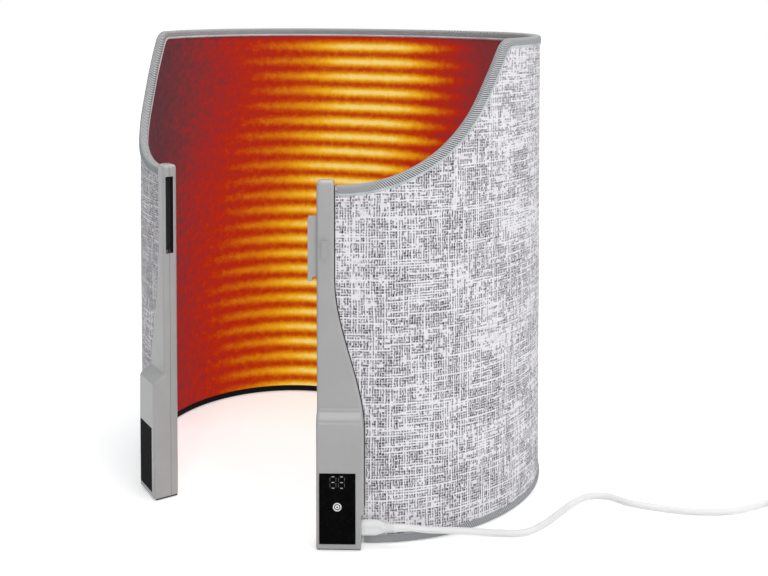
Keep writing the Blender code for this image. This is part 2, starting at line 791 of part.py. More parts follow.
def post_shells(name, frame):
    """Front and back shell of a post, with the cuts that both posts share."""
    split = {"front": SPLIT + GAP / 2, "back": SPLIT - GAP / 2}
    shells = []
    for part in ("front", "back"):
        rings = []
        for z in post_levels(POST_BASE, POST_TOP):
            face = post_front(z) if part == "front" else BACK_FACE
            radius = POST_CORNER if part == "front" else BACK_CORNER
            rings.append(shell_ring(frame, z, split[part], face, radius))
        shell = loft(f"{name}_post_{part}", rings, PARTS, "post", frame.matrix)
        combine(shell, wall_slot(f"{name}_{part}_wall_slot", frame))
        shells.append(shell)
    front, back = shells
    combine(front, hollow(f"{name}_hollow", frame, CAVITY_TOP))
    relief = block(
        f"{name}_side_relief", frame,
        (SIDE_FACE, BOX_WIDTH + OVERRUN), (-OVERRUN, BOX_PROUD + OVERRUN),
        (-OVERRUN, SIDE_STEP_HEIGHT), CUTTERS,
    )
    combine(front, relief)
    for index, z in enumerate(screw_places()):
        centre = (RAIL_WIDTH / 2, (SCREW_TIP + BACK_FACE - OVERRUN) / 2, z)
        hole = rod(
            f"{name}_screw_hole_{index + 1}", frame, centre, SCREW_HOLE_RADIUS,
            SCREW_TIP - BACK_FACE + OVERRUN, ALONG_N, CUTTERS,
        )
        combine(front, hole)
        combine(back, hole)
        depth = SCREW_HEAD_HEIGHT + GAP
        centre = (RAIL_WIDTH / 2, BACK_FACE + depth / 2 - OVERRUN / 2, z)
        sink = rod(
            f"{name}_screw_sink_{index + 1}", frame, centre, SCREW_HEAD_RADIUS + GAP,
            depth + OVERRUN, ALONG_N, CUTTERS,
        )
        combine(back, sink)
    return front, back


def post_screws(name, frame):
    """Pan-head screws, each a turned piece with a drive recess, driven from the back."""
    made = []
    head = SCREW_HEAD_HEIGHT
    length = SCREW_TIP - BACK_FACE - GAP
    profile = [
        (0.0, -SCREW_SOCKET_DEPTH), (SCREW_SOCKET_RADIUS, -SCREW_SOCKET_DEPTH), (SCREW_SOCKET_RADIUS, 0.0),
        (SCREW_HEAD_RADIUS - SCREW_SOCKET_DEPTH / 2, 0.0), (SCREW_HEAD_RADIUS, -SCREW_SOCKET_DEPTH / 2),
        (SCREW_HEAD_RADIUS, -head), (SCREW_RADIUS, -head), (SCREW_RADIUS, SCREW_RADIUS - length),
        (0.0, -length),
    ]
    for index, z in enumerate(screw_places()):
        place = Matrix.Translation((frame.side * RAIL_WIDTH / 2, -BACK_FACE, z))
        matrix = frame.matrix @ place @ Matrix.Rotation(math.radians(-90), 4, "X")
        made.append(turned(f"{name}_post_screw_{index + 1}", profile, matrix, "steel"))
    return made


def post_foot(name, frame):
    """Rubber foot: a plate under both shells that leaves room for the wall, with a plug in the hollow."""
    low, high = BACK_FACE + FOOT_EDGE, BOX_PROUD - FOOT_EDGE - POST_CORNER / 2
    far = SIDE_FACE - FOOT_EDGE
    slot_low, slot_high = -WALL_THICKNESS - 2 * GAP, 2 * GAP
    near = RAIL_WIDTH - GAP
    corners = (
        (FOOT_EDGE, low), (far, low), (far, slot_low), (near, slot_low),
        (near, slot_high), (far, slot_high), (far, high), (FOOT_EDGE, high),
    )
    outline = [(frame.side * u, -n) for u, n in corners]
    half = (POST_BASE - GAP) / 2
    foot = flat(
        f"{name}_post_foot", outline, half,
        frame.matrix @ Matrix.Translation((0.0, 0.0, half)), PARTS, "rubber",
    )
    plug = block(
        f"{name}_foot_plug", frame,
        (RAIL_WIDTH + CAVITY_INSET + GAP, SIDE_FACE - SHELL - GAP),
        (slot_high + GAP, BOX_PROUD - SHELL - GAP), (half, POST_BASE + FOOT_PLUG), CUTTERS,
    )
    combine(foot, plug, "UNION")
    return foot


# Sliding hook and catch

HOOK_TOP = POST_WALL_HEIGHT - HOOK_DROP
HOOK_BOTTOM = HOOK_TOP - HOOK_HEIGHT
HOOK_FACES = (SPLIT - HOOK_THICKNESS / 2, SPLIT + HOOK_THICKNESS / 2)
FLANGE_FACES = (HOOK_FACES[0] - FLANGE_LAP, HOOK_FACES[1] + FLANGE_LAP)
PAD_MIDDLE = POST_WALL_HEIGHT - PAD_DROP


def widened(span, by):
    return (span[0] - by, span[1] + by)


def latch_cuts(frame, front, back):
    """Pocket, mouth and thumb slot that guide the slider."""
    lifted = (HOOK_BOTTOM - GAP, HOOK_TOP + HOOK_TRAVEL + GAP)
    pocket_heights = (lifted[0] - FLANGE_RISE, lifted[1] + FLANGE_RISE)
    pocket = block(
        "latch_pocket", frame, (LATCH_WALL, RAIL_WIDTH + GAP), widened(FLANGE_FACES, GAP),
        pocket_heights, CUTTERS,
    )
    mouth = block(
        "latch_mouth", frame, (-OVERRUN, LATCH_WALL + OVERRUN), widened(HOOK_FACES, GAP), lifted, CUTTERS
    )
    for shell in (front, back):
        combine(shell, pocket)
        combine(shell, mouth)
    stem = PAD_MIDDLE - STEM_DROP
    heights = (stem - STEM_HEIGHT / 2 - GAP, stem + STEM_HEIGHT / 2 + HOOK_TRAVEL + GAP)
    middle = RAIL_WIDTH - GAP - STEM_WIDTH / 2
    slot = block(
        "thumb_slot", frame, widened((middle - STEM_WIDTH / 2, middle + STEM_WIDTH / 2), GAP),
        (FLANGE_FACES[1], BAR_PROUD + OVERRUN), heights, CUTTERS,
    )
    combine(front, slot)


def latch_slider(frame):
    """The hook and the flanged slider that keeps it in the post, as one moulding."""
    nib = -HOOK_REACH + NIB_WIDTH
    corners = (
        (LATCH_WALL + OVERRUN, HOOK_BOTTOM), (nib, HOOK_BOTTOM), (nib, HOOK_BOTTOM - NIB_DROP),
        (-HOOK_REACH, HOOK_BOTTOM - NIB_DROP), (-HOOK_REACH, HOOK_TOP - HOOK_CORNER),
        (-HOOK_REACH + HOOK_CORNER, HOOK_TOP), (LATCH_WALL + OVERRUN, HOOK_TOP),
    )
    outline = [(frame.side * u, z) for u, z in corners]
    matrix = frame.matrix @ Matrix.Translation((0.0, -SPLIT, 0.0)) @ ALONG_N
    slider = flat("latch_slider", outline, HOOK_THICKNESS / 2, matrix, PARTS, "latch")
    flange = block(
        "slider_flange", frame, (LATCH_WALL + GAP, RAIL_WIDTH - GAP), FLANGE_FACES,
        (HOOK_BOTTOM - FLANGE_RISE, HOOK_TOP + FLANGE_RISE), CUTTERS,
    )
    combine(slider, flange, "UNION")
    return slider


def thumb_pad(frame):
    """Pad with a raised border, on a stem that reaches the slider through the front shell."""
    half_width, half_height = PAD_WIDTH / 2, PAD_HEIGHT / 2
    base = BAR_PROUD + GAP
    pad = None
    for name, border, low, high in (
        ("latch_thumb_pad", 0.0, base, base + PAD_PROUD),
        ("pad_centre", PAD_BORDER, base + PAD_PROUD / 2, base + PAD_PROUD + PAD_RAISE),
    ):
        sides = (PAD_SIDE - half_width + border, PAD_SIDE + half_width - border)
        ends = (PAD_MIDDLE - half_height + border, PAD_MIDDLE + half_height - border)
        outline = [(frame.side * u, z) for u, z in rounded_box(*sides, *ends, PAD_CORNER)]
        matrix = frame.matrix @ Matrix.Translation((0.0, -(low + high) / 2, 0.0)) @ ALONG_N
        home = CUTTERS if pad else PARTS
        piece = flat(name, outline, (high - low) / 2, matrix, home, "latch")
        if pad:
            combine(pad, piece, "UNION")
        pad = pad or piece
    stem_middle = RAIL_WIDTH - GAP - STEM_WIDTH / 2
    stem = PAD_MIDDLE - STEM_DROP
    post = block(
        "pad_stem", frame, (stem_middle - STEM_WIDTH / 2, stem_middle + STEM_WIDTH / 2),
        (FLANGE_FACES[1] + GAP, base + PAD_PROUD / 2),
        (stem - STEM_HEIGHT / 2, stem + STEM_HEIGHT / 2), CUTTERS,
    )
    combine(pad, post, "UNION")
    return pad


def catch_cuts(frame, front, back):
    """Slot that takes the hook, and the pocket behind it where the nib drops."""
    faces = (SPLIT - CATCH_SLOT_WIDTH / 2, SPLIT + CATCH_SLOT_WIDTH / 2)
    low = HOOK_BOTTOM - GAP
    high = HOOK_TOP + HOOK_TRAVEL + CATCH_SLOT_SPARE
    slot = block("catch_slot", frame, (-OVERRUN, LATCH_WALL + OVERRUN), faces, (low, high), CUTTERS)
    pocket = block(
        "catch_pocket", frame, (LATCH_WALL, RAIL_WIDTH + GAP), widened(faces, GAP),
        (low - CATCH_HEIGHT - GAP, high + GAP), CUTTERS,
    )
    for shell in (front, back):
        combine(shell, slot)
        combine(shell, pocket)


def catch_plate(frame):
    """Steel strike behind the slot's lower edge, that the nib hooks over."""
    faces = (SPLIT - CATCH_SLOT_WIDTH / 2, SPLIT + CATCH_SLOT_WIDTH / 2)
    low = HOOK_BOTTOM - GAP
    start = LATCH_WALL + GAP
    return block(
        "catch_plate", frame, (start, start + CATCH_THICKNESS), faces, (low - CATCH_HEIGHT, low),
        PARTS, "steel",
    )


# Control panel and what is behind it

PANEL_U = (PANEL_SIDE, PANEL_SIDE + PANEL_WIDTH)
PANEL_Z = (PANEL_BOTTOM, PANEL_BOTTOM + PANEL_HEIGHT)
BUTTON_U = PANEL_SIDE + PANEL_WIDTH / 2
PANEL_BACK = BOX_PROUD - PANEL_DEPTH
BOARD_U = (RAIL_WIDTH + 2 * CAVITY_INSET, SIDE_FACE - INLET_LENGTH - BOARD_CLEARANCE)
BOARD_FACE = BOARD_PROUD + PCB_THICKNESS
FLANGE_RADIUS = BUTTON_RADIUS + BUTTON_FLANGE_LAP


def panel_recess(name, frame, front, u):
    recess = block(
        f"{name}_panel_recess", frame, widened(u, GAP), (PANEL_BACK, BOX_PROUD + OVERRUN),
        widened(PANEL_Z, GAP), CUTTERS,
    )
    combine(front, recess)


def panel_plate(name, frame, u):
    low = PANEL_BACK + GAP
    outline = [(frame.side * a, b) for a, b in rounded_box(*u, *PANEL_Z, PANEL_CORNER)]
    matrix = frame.matrix @ Matrix.Translation((0.0, -(low + PANEL_THICKNESS / 2), 0.0)) @ ALONG_N
    return flat(name, outline, PANEL_THICKNESS / 2, matrix, PARTS, "panel")


def control_cuts(frame, front):
    """Windows behind the control panel, and the hole for the inlet."""
    through = (BOARD_FACE, PANEL_BACK + OVERRUN)
    middle = (BOARD_U[0] + BOARD_U[1]) / 2
    window = block(
        "display_window", frame,
        (middle - DISPLAY_WIDTH / 2 - 2 * GAP, middle + DISPLAY_WIDTH / 2 + 2 * GAP), through,
        (DISPLAY_MIDDLE - DISPLAY_HEIGHT / 2 - 2 * GAP, DISPLAY_MIDDLE + DISPLAY_HEIGHT / 2 + 2 * GAP),
        CUTTERS,
    )
    combine(front, window)
    reach = PANEL_BACK + OVERRUN - BOARD_FACE
    hole = rod(
        "button_well", frame, (BUTTON_U, BOARD_FACE + reach / 2, BUTTON_HEIGHT),
        FLANGE_RADIUS + 2 * GAP, reach, ALONG_N, CUTTERS, ROUND_SIDES,
    )
    combine(front, hole)
    inlet_hole = block(
        "inlet_hole", frame, (SIDE_FACE - SHELL - OVERRUN, BOX_WIDTH + OVERRUN),
        widened((INLET_PROUD - INLET_THICK / 2, INLET_PROUD + INLET_THICK / 2), GAP),
        widened((INLET_HEIGHT - INLET_TALL / 2, INLET_HEIGHT + INLET_TALL / 2), GAP), CUTTERS,
    )
    combine(front, inlet_hole)


def board_bosses(frame, front):
    """Four bosses from the front skin to the board's corners."""
    low, high = BOARD_FACE + GAP, BOX_PROUD - SHELL + BOSS_BITE
    index = 0
    for u in (BOARD_U[0] + BOSS_INSET, BOARD_U[1] - BOSS_INSET):
        for z in (BOARD_BOTTOM + BOSS_INSET, BOARD_TOP - BOSS_INSET):
            index += 1
            boss = rod(
                f"board_boss_{index}", frame, (u, (low + high) / 2, z), BOSS_RADIUS, high - low,
                ALONG_N, CUTTERS,
            )
            combine(front, boss, "UNION")


def power_button(frame):
    """Round cap with a flange behind the panel and a stem over the switch."""
    face = BOX_PROUD + BUTTON_PROUD
    flange_top = PANEL_BACK
    profile = [
        (0.0, 0.0), (BUTTON_RADIUS - BUTTON_PROUD, 0.0), (BUTTON_RADIUS, -BUTTON_PROUD),
        (BUTTON_RADIUS, flange_top - face), (FLANGE_RADIUS, flange_top - face),
        (FLANGE_RADIUS, flange_top - face - BUTTON_FLANGE),
        (BUTTON_STEM_RADIUS, flange_top - face - BUTTON_FLANGE),
        (BUTTON_STEM_RADIUS, flange_top - face - BUTTON_FLANGE - BUTTON_STEM),
        (0.0, flange_top - face - BUTTON_FLANGE - BUTTON_STEM),
    ]
    place = Matrix.Translation((frame.side * BUTTON_U, -face, BUTTON_HEIGHT))
    matrix = frame.matrix @ place @ Matrix.Rotation(math.radians(90), 4, "X")
    return turned("power_button", profile, matrix, "panel", ROUND_SIDES)


def electronics(frame):
    """Control board and the parts on it."""
    middle = (BOARD_U[0] + BOARD_U[1]) / 2
    board = block(
        "control_board", frame, BOARD_U, (BOARD_PROUD, BOARD_FACE), (BOARD_BOTTOM, BOARD_TOP), PARTS, "pcb"
    )
    display = block(
        "display_module", frame, (middle - DISPLAY_WIDTH / 2, middle + DISPLAY_WIDTH / 2),
        (BOARD_FACE + GAP, PANEL_BACK),
        (DISPLAY_MIDDLE - DISPLAY_HEIGHT / 2, DISPLAY_MIDDLE + DISPLAY_HEIGHT / 2), PARTS, "component",
    )
    base = BOARD_FACE + GAP
    stem_end = PANEL_BACK - BUTTON_FLANGE - BUTTON_STEM
    key_top = stem_end - BUTTON_TRAVEL - GAP
    switch = block(
        "tact_switch", frame, (BUTTON_U - SWITCH_SIDE / 2, BUTTON_U + SWITCH_SIDE / 2),
        (base, base + SWITCH_HEIGHT), (BUTTON_HEIGHT - SWITCH_SIDE / 2, BUTTON_HEIGHT + SWITCH_SIDE / 2),
        PARTS, "component",
    )
    key_low = base + SWITCH_HEIGHT / 2
    key = rod(
        "switch_key", frame, (BUTTON_U, (key_low + key_top) / 2, BUTTON_HEIGHT), SWITCH_KEY_RADIUS,
        key_top - key_low, ALONG_N, CUTTERS,
    )
    combine(switch, key, "UNION")
    relay = block(
        "power_relay", frame, (middle - RELAY_WIDTH / 2, middle + RELAY_WIDTH / 2),
        (base, base + RELAY_DEPTH), (RELAY_MIDDLE - RELAY_HEIGHT / 2, RELAY_MIDDLE + RELAY_HEIGHT / 2),
        PARTS, "component",
    )
    cutout = rod(
        "thermal_cutout", frame, (middle, base + CUTOUT_RADIUS, CUTOUT_MIDDLE), CUTOUT_RADIUS,
        CUTOUT_LENGTH, Matrix.Rotation(math.radians(90), 4, "Y"), PARTS, "steel",
    )
    return [board, display, switch, relay, cutout]


def film_depth():
    """Depth of the heating film's middle."""
    outer = 0.0
    for name, thickness, finish in LAYERS:
        if name == "heating_film":
            return outer - thickness / 2
        outer -= thickness + GAP
    return outer


def lead_notches(frame, front, back):
    """Way for the ribbon from the wall's end through the rail to the box's hollow."""
    heights = (LEAD_MIDDLE - LEAD_WIDTH / 2 - LEAD_ROOM, LEAD_MIDDLE + LEAD_WIDTH / 2 + LEAD_ROOM)
    bend = RAIL_WIDTH / 2
    notch = block(
        "lead_notch", frame, (bend - LEAD_ROOM, RAIL_WIDTH + CAVITY_INSET + OVERRUN),
        (film_depth() - LEAD_ROOM, BOARD_FACE + LEAD_ROOM), heights, CUTTERS,
    )
    combine(front, notch)
    combine(back, notch)


def film_lead(frame):
    """Flat ribbon from the film's end, round the wall's end, to the board's edge."""
    bend = RAIL_WIDTH / 2
    deep = film_depth()
    board = (BOARD_PROUD + BOARD_FACE) / 2
    path = ((WALL_START - GAP, deep), (bend, deep), (bend, board), (BOARD_U[0] - GAP, board))
    heights = (LEAD_MIDDLE - LEAD_WIDTH / 2, LEAD_MIDDLE + LEAD_WIDTH / 2)
    rings = [[Vector((frame.side * u, -n, z)) for z in heights] for u, n in path]
    return sheet("film_lead", rings, LEAD_THICKNESS, Vector((0.0, -1.0, 0.0)), "copper", frame.matrix)


# Inlet, plug and cord

def lobed_outline(radius, count):
    """Figure-of-eight outline: two lobes with a waist between them, as (n, z)."""
    spread = math.acos(min(1.0, WAIST / LOBE_RADIUS))
    points = []
    for lobe in (0, 1):
        for step in range(count // 2):
            angle = -spread + (math.pi + 2 * spread) * step / (count // 2 - 1) + lobe * math.pi
            offset = LOBE_OFFSET if lobe == 0 else -LOBE_OFFSET
            points.append((radius * math.cos(angle), offset + radius * math.sin(angle)))
    return points


def round_outline(radius, count):
    """Circle whose points match those of the lobed outline."""
    angles = [2 * math.pi * (k + 0.5) / count for k in range(count)]
    return [(radius * math.cos(angle), radius * math.sin(angle)) for angle in angles]


def across(frame, outline, u):
    """Places an outline (n, z) about the inlet's middle line, square to it, at a distance u."""
    return [Vector((frame.side * u, -(INLET_PROUD + n), INLET_HEIGHT + z)) for n, z in outline]


def power_inlet(frame):
    """Inlet block with a figure-of-eight well and two pins in it."""
    inlet = block(
        "power_inlet", frame, (SIDE_FACE - INLET_LENGTH, SIDE_FACE),
        (INLET_PROUD - INLET_THICK / 2, INLET_PROUD + INLET_THICK / 2),
        (INLET_HEIGHT - INLET_TALL / 2, INLET_HEIGHT + INLET_TALL / 2), PARTS, "component",
    )
    outline = lobed_outline(LOBE_RADIUS + GAP, ROUND_SIDES)
    well = loft(
        "inlet_well",
        [across(frame, outline, SIDE_FACE - WELL_DEPTH - GAP), across(frame, outline, SIDE_FACE + OVERRUN)],
        CUTTERS, matrix=frame.matrix,
    )
    combine(inlet, well)
    for index, offset in enumerate((-LOBE_OFFSET, LOBE_OFFSET)):
        low, high = SIDE_FACE - WELL_DEPTH - OVERRUN, SIDE_FACE - WELL_DEPTH + PIN_LENGTH
        pin = rod(
            f"inlet_pin_{index + 1}", frame, ((low + high) / 2, INLET_PROUD, INLET_HEIGHT + offset),
            PIN_RADIUS, high - low, Matrix.Rotation(math.radians(90), 4, "Y"), CUTTERS,
        )
        combine(inlet, pin, "UNION")
    return inlet


def cord_plug(frame):
    """Plug in the inlet: figure-of-eight body that runs into a round tail, with two bores for the pins."""
    body = lobed_outline(LOBE_RADIUS, ROUND_SIDES)
    tail = round_outline(RELIEF_RADIUS, ROUND_SIDES)
    end = SIDE_FACE + PLUG_LENGTH
    rings = [
        across(frame, body, SIDE_FACE - WELL_DEPTH), across(frame, body, end - PLUG_TAPER),
        across(frame, tail, end),
    ]
    plug = loft("cord_connector", rings, PARTS, "white", frame.matrix)
    for index, offset in enumerate((-LOBE_OFFSET, LOBE_OFFSET)):
        low, high = SIDE_FACE - WELL_DEPTH - OVERRUN, SIDE_FACE - WELL_DEPTH + PIN_LENGTH + GAP
        bore = rod(
            f"pin_bore_{index + 1}", frame, ((low + high) / 2, INLET_PROUD, INLET_HEIGHT + offset),
            PIN_BORE_RADIUS, high - low, Matrix.Rotation(math.radians(90), 4, "Y"), CUTTERS,
        )
        combine(plug, bore)
    return plug


def cord_relief(frame):
    """Grooved strain relief behind the plug, narrowing to the cord."""
    start = SIDE_FACE + PLUG_LENGTH + GAP
    profile = [(0.0, RELIEF_LENGTH), (CORD_DIAMETER / 2 + GAP, RELIEF_LENGTH)]
    rib = RELIEF_LENGTH / (2 * RELIEF_GROOVES + 1)
    for index in range(2 * RELIEF_GROOVES + 1):
        height = RELIEF_LENGTH - index * rib
        share = (index + 0.5) / (2 * RELIEF_GROOVES + 1)
        slimmest = CORD_DIAMETER / 2 + RELIEF_GROOVE
        radius = slimmest + (RELIEF_RADIUS - slimmest) * share
        if index % 2:
            radius -= RELIEF_GROOVE
        profile += [(radius, height), (radius, height - rib)]
    profile.append((0.0, 0.0))
    place = Matrix.Translation((frame.side * start, -INLET_PROUD, INLET_HEIGHT))
    return turned("cord_relief", profile, frame.matrix @ place @ ALONG_U, "white", SMALL_SIDES)


def smooth_path(points, step):
    """Points an even step apart on a smooth curve through the given points, its end runs straight."""
    places = [Vector(p) for p in points]
    fine = [places[1]]
    for before, start, end, after in zip(places, places[1:], places[2:], places[3:]):
        for k in range(1, ROUND_SIDES + 1):
            t = k / ROUND_SIDES
            fine.append(
                start
                + (end - before) * (t / 2)
                + (2 * before - 5 * start + 4 * end - after) * (t * t / 2)
                + (3 * start - before - 3 * end + after) * (t**3 / 2)
            )
    lengths = numpy.cumsum([0.0] + [(b - a).length for a, b in zip(fine, fine[1:])])
    count = max(2, round(lengths[-1] / step))
    path = [places[0]]
    for wanted in numpy.linspace(0.0, lengths[-1], count + 1):
        spot = [float(numpy.interp(wanted, lengths, [p[axis] for p in fine])) for axis in range(3)]
        path.append(Vector(spot))
    return path + [places[-1]]


def tube(name, path, resolution):
    """Round cord along a path, with closed ends."""
    curve = bpy.data.curves.new(name, "CURVE")
    curve.dimensions = "3D"
    curve.bevel_depth = CORD_DIAMETER / 2
    curve.bevel_resolution = resolution
    curve.use_fill_caps = True
    line = curve.splines.new("POLY")
    line.points.add(len(path) - 1)
    for point, place in zip(line.points, path):
        point.co = (*place, 1.0)
    return meshed(name, curve, Matrix.Identity(4), PARTS, "white")


def coil_place(turn):
    """Point of the coil after a number of turns: in on the floor, a climb, and out on top."""
    half = COIL_TURNS / 2
    radius = COIL_RADIUS - COIL_PITCH * (half - abs(turn - half))
    height = CORD_DIAMETER / 2 + FLOOR_CLEARANCE
    height += COIL_PITCH * ease(half - COIL_CLIMB / 2, half + COIL_CLIMB / 2, turn)
    angle = COIL_START - 2 * math.pi * turn
    return Vector((COIL_X + radius * math.cos(angle), COIL_Y + radius * math.sin(angle), height))


def coil_direction(turn):
    step = 1 / COIL_POINTS / COIL_POINTS
    low = max(0.0, turn - step)
    return (coil_place(min(COIL_TURNS, turn + step)) - coil_place(low)).normalized()


def coil_gap(path):
    """Least gap between turns of the coil, measured between its straight runs that aren't neighbours."""
    least = math.inf
    reach = COIL_POINTS // 2
    runs = [(numpy.array(a), numpy.array(b)) for a, b in zip(path, path[1:])]
    samples = [[a + (b - a) * t for t in (0.0, 0.25, 0.5, 0.75)] for a, b in runs]
    for index, near in enumerate(samples):
        for far in samples[index + reach:]:
            for a in near:
                for b in far:
                    least = min(least, float(numpy.linalg.norm(a - b)))
    return least - CORD_DIAMETER


def cord(frame):
    """Free stretch, coil and tail of the cord, and the plug on its far end."""
    start = SIDE_FACE + PLUG_LENGTH + RELIEF_LENGTH + 2 * GAP
    first = frame.matrix @ Vector((frame.side * start, -INLET_PROUD, INLET_HEIGHT))
    along = (frame.matrix.to_3x3() @ Vector((frame.side, 0.0, 0.0))).normalized()
    into = coil_direction(0.0)
    into.z = 0.0
    entry = coil_place(0.0) - into * CORD_DIAMETER
    route = [first, first + along * CORD_DIAMETER, *ROUTE]
    route += [entry - into * (CORD_DIAMETER + GAP), entry - into * GAP]
    lead = tube("cord_lead", smooth_path(route, CORD_STEP_SHARE * CORD_DIAMETER), 2)
    count = round(COIL_TURNS * COIL_POINTS)
    loops = [coil_place(COIL_TURNS * k / count) for k in range(count + 1)]
    out = coil_direction(COIL_TURNS)
    out.z = 0.0
    out.normalize()
    path = [entry] + loops + [loops[-1] + out * CORD_DIAMETER]
    coil = tube("cord_coil", path, 1)
    print("least gap between the coil's turns: %.2f mm" % (1000 * coil_gap(path)))
    leave = path[-1] + out * GAP
    height = MAINS_THICK / 2 + FLOOR_CLEARANCE
    reach = leave + out * TAIL_LENGTH
    reach.z = height
    tail_route = [leave, leave + out * CORD_DIAMETER, reach - out * CORD_DIAMETER, reach]
    tail = tube("cord_tail", smooth_path(tail_route, CORD_STEP_SHARE * CORD_DIAMETER / 2), 2)
    plug = mains_plug(reach + out * GAP, out)
    return [lead, coil, tail, plug]


def mains_plug(place, out):
    """Flat two-pin plug: a body that widens from the cord to the pins."""
    turn = Matrix.Rotation(math.atan2(out.y, out.x), 4, "Z")
    matrix = Matrix.Translation(place) @ turn
    neck, wide = MAINS_NECK / 2, MAINS_WIDTH / 2
    corners = (
        (0.0, -neck), (MAINS_SHOULDER[0], -neck), (MAINS_SHOULDER[1], -wide), (MAINS_LENGTH, -wide),
        (MAINS_LENGTH, wide), (MAINS_SHOULDER[1], wide), (MAINS_SHOULDER[0], neck), (0.0, neck),
    )
    plug = flat("mains_plug", corners, MAINS_THICK / 2, matrix, PARTS, "white")
    soften = plug.modifiers.new("soften", "BEVEL")
    soften.width = MAINS_BEVEL
    soften.segments = 2
    soften.limit_method = "ANGLE"
    soften.angle_limit = SOFT_EDGE
    frame = Frame(1, matrix)
    for index, offset in enumerate((-MAINS_PIN_SPACING / 2, MAINS_PIN_SPACING / 2)):
        low, high = MAINS_LENGTH - MAINS_PIN_RADIUS * 2, MAINS_LENGTH + MAINS_PIN_LENGTH
        pin = rod(
            f"mains_pin_{index + 1}", frame, ((low + high) / 2, offset, 0.0), MAINS_PIN_RADIUS, high - low,
            Matrix.Rotation(math.radians(90), 4, "Y"), CUTTERS,
        )
        combine(plug, pin, "UNION")
    return plug


# Assembly

def post_frame(side):
    place = Matrix.Translation((side * END_X, END_Y, 0.0))
    return Frame(side, place @ Matrix.Rotation(side * FRONT_ANGLE, 4, "Z"))


def control_post(frame):
    """Right post: controls, inlet and sliding hook."""
    front, back = post_shells("control", frame)
    panel_recess("control", frame, front, PANEL_U)
    control_cuts(frame, front)
    board_bosses(frame, front)
    lead_notches(frame, front, back)
    latch_cuts(frame, front, back)
    panel = panel_plate("control_panel", frame, PANEL_U)
    hole = rod(
        "panel_button_hole", frame, (BUTTON_U, BOX_PROUD, BUTTON_HEIGHT), BUTTON_RADIUS + GAP,
        2 * OVERRUN, ALONG_N, CUTTERS, ROUND_SIDES,
    )
    combine(panel, hole)
    fixed = [front, back, panel, post_foot("control", frame), film_lead(frame), power_inlet(frame)]
    fixed += electronics(frame) + post_screws("control", frame)
    return fixed, power_button(frame), [latch_slider(frame), thumb_pad(frame)]


def catch_post(frame):
    """Left post: a blank panel below and the catch above."""
    front, back = post_shells("catch", frame)
    blank = (BOX_WIDTH - BLANK_SIDE - PANEL_WIDTH, BOX_WIDTH - BLANK_SIDE)
    panel_recess("catch", frame, front, blank)
    catch_cuts(frame, front, back)
    fixed = [front, back, panel_plate("blank_panel", frame, blank), post_foot("catch", frame)]
    return fixed + [catch_plate(frame)] + post_screws("catch", frame)


def build():
    panels = wrap()
    right, left = post_frame(1), post_frame(-1)
    root = axis_empty("right_wing_frame", (0.0, 0.0, 0.0))
    right_fold = axis_empty("right_fold_axis", wall_point(FOLD, 0.0, 0.0), root)
    left_fold = axis_empty("left_fold_axis", wall_point(WALL_LENGTH - FOLD, 0.0, 0.0), right_fold)
    fixed, button, sliding = control_post(right)
    for thing in fixed + panels["right"]:
        carry(thing, root)
    for thing in panels["back"]:
        carry(thing, right_fold)
    for thing in panels["left"] + catch_post(left):
        carry(thing, left_fold)
    carry(button, root)
    latch = axis_empty("latch_axis", right.matrix @ Vector((0.0, -SPLIT, HOOK_BOTTOM)), root)
    for thing in sliding:
        carry(thing, latch)
    for thing in [cord_plug(right), cord_relief(right)] + cord(right):
        carry(thing, root)


build()
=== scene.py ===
"""Foldable leg heater: the looks around the packed model.

A tall fabric wrap of three folding panels stands open at the front between two moulded posts. This script
dresses it: fabric, glowing lining, bindings and piping, finished mouldings, the display and the power key,
the cord, and a studio with a camera. Lengths are in metres. A place on the wall is given by s, the distance
along its outer surface from the right end face, by z, the height above the floor, and by n, the distance
outward from the fabric. In a post, u is the distance from its end face along the wall.
"""

import math

import bmesh
import bpy
from mathutils import Matrix, Vector, noise


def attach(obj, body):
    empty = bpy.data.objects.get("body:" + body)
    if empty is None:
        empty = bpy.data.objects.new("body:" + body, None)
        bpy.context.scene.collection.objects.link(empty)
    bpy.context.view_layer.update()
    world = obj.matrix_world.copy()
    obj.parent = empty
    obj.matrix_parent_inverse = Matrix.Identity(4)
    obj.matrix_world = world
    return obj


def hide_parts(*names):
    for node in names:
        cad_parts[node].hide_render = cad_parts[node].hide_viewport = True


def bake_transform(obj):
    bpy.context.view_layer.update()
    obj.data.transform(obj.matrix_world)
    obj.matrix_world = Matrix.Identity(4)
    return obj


bl_info = {
    "name": "Foldable leg heater",
    "version": (1, 0, 0),
    "blender": (4, 5, 0),
    "location": "View3D > Sidebar > Leg heater",
    "description": "Dresses the packed leg heater with fabric, mouldings, cord and a studio",
    "category": "Object",
}

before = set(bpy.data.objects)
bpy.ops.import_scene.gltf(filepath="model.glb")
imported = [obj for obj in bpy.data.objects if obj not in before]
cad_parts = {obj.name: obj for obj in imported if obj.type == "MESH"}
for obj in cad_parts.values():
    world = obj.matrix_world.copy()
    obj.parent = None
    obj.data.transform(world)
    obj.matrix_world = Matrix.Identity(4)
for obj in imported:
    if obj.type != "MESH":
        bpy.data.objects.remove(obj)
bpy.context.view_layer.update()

# Plan of the wrap
END_X = 0.0966                  # from the middle to an end face
END_Y = -0.178275
BOX_WIDTH = 0.0470
FRONT_ANGLE = math.radians(28.2)
PLAN_ARCS = ((0.197, math.radians(88)), (0.160, math.radians(162)), (None, math.pi))
FOLD_SHARE = 0.30
FABRIC_BEND = 0.010             # how far a layer would bend on either side of a fold line; the script makes no bend
LAYER_BEND = 0.016

# Heights and swept edges
WRAP_HEIGHT = 0.500
POST_WALL_HEIGHT = 0.3574
SWEEP_START = 0.0200
SWEEP_RADIUS = 0.1800
SWEEP_ANGLE = math.radians(57.6)
CORNER_RADIUS = 0.0220
SWEEP_STEPS = 40
SLOPE_STEPS = 8
CORNER_STEPS = 10

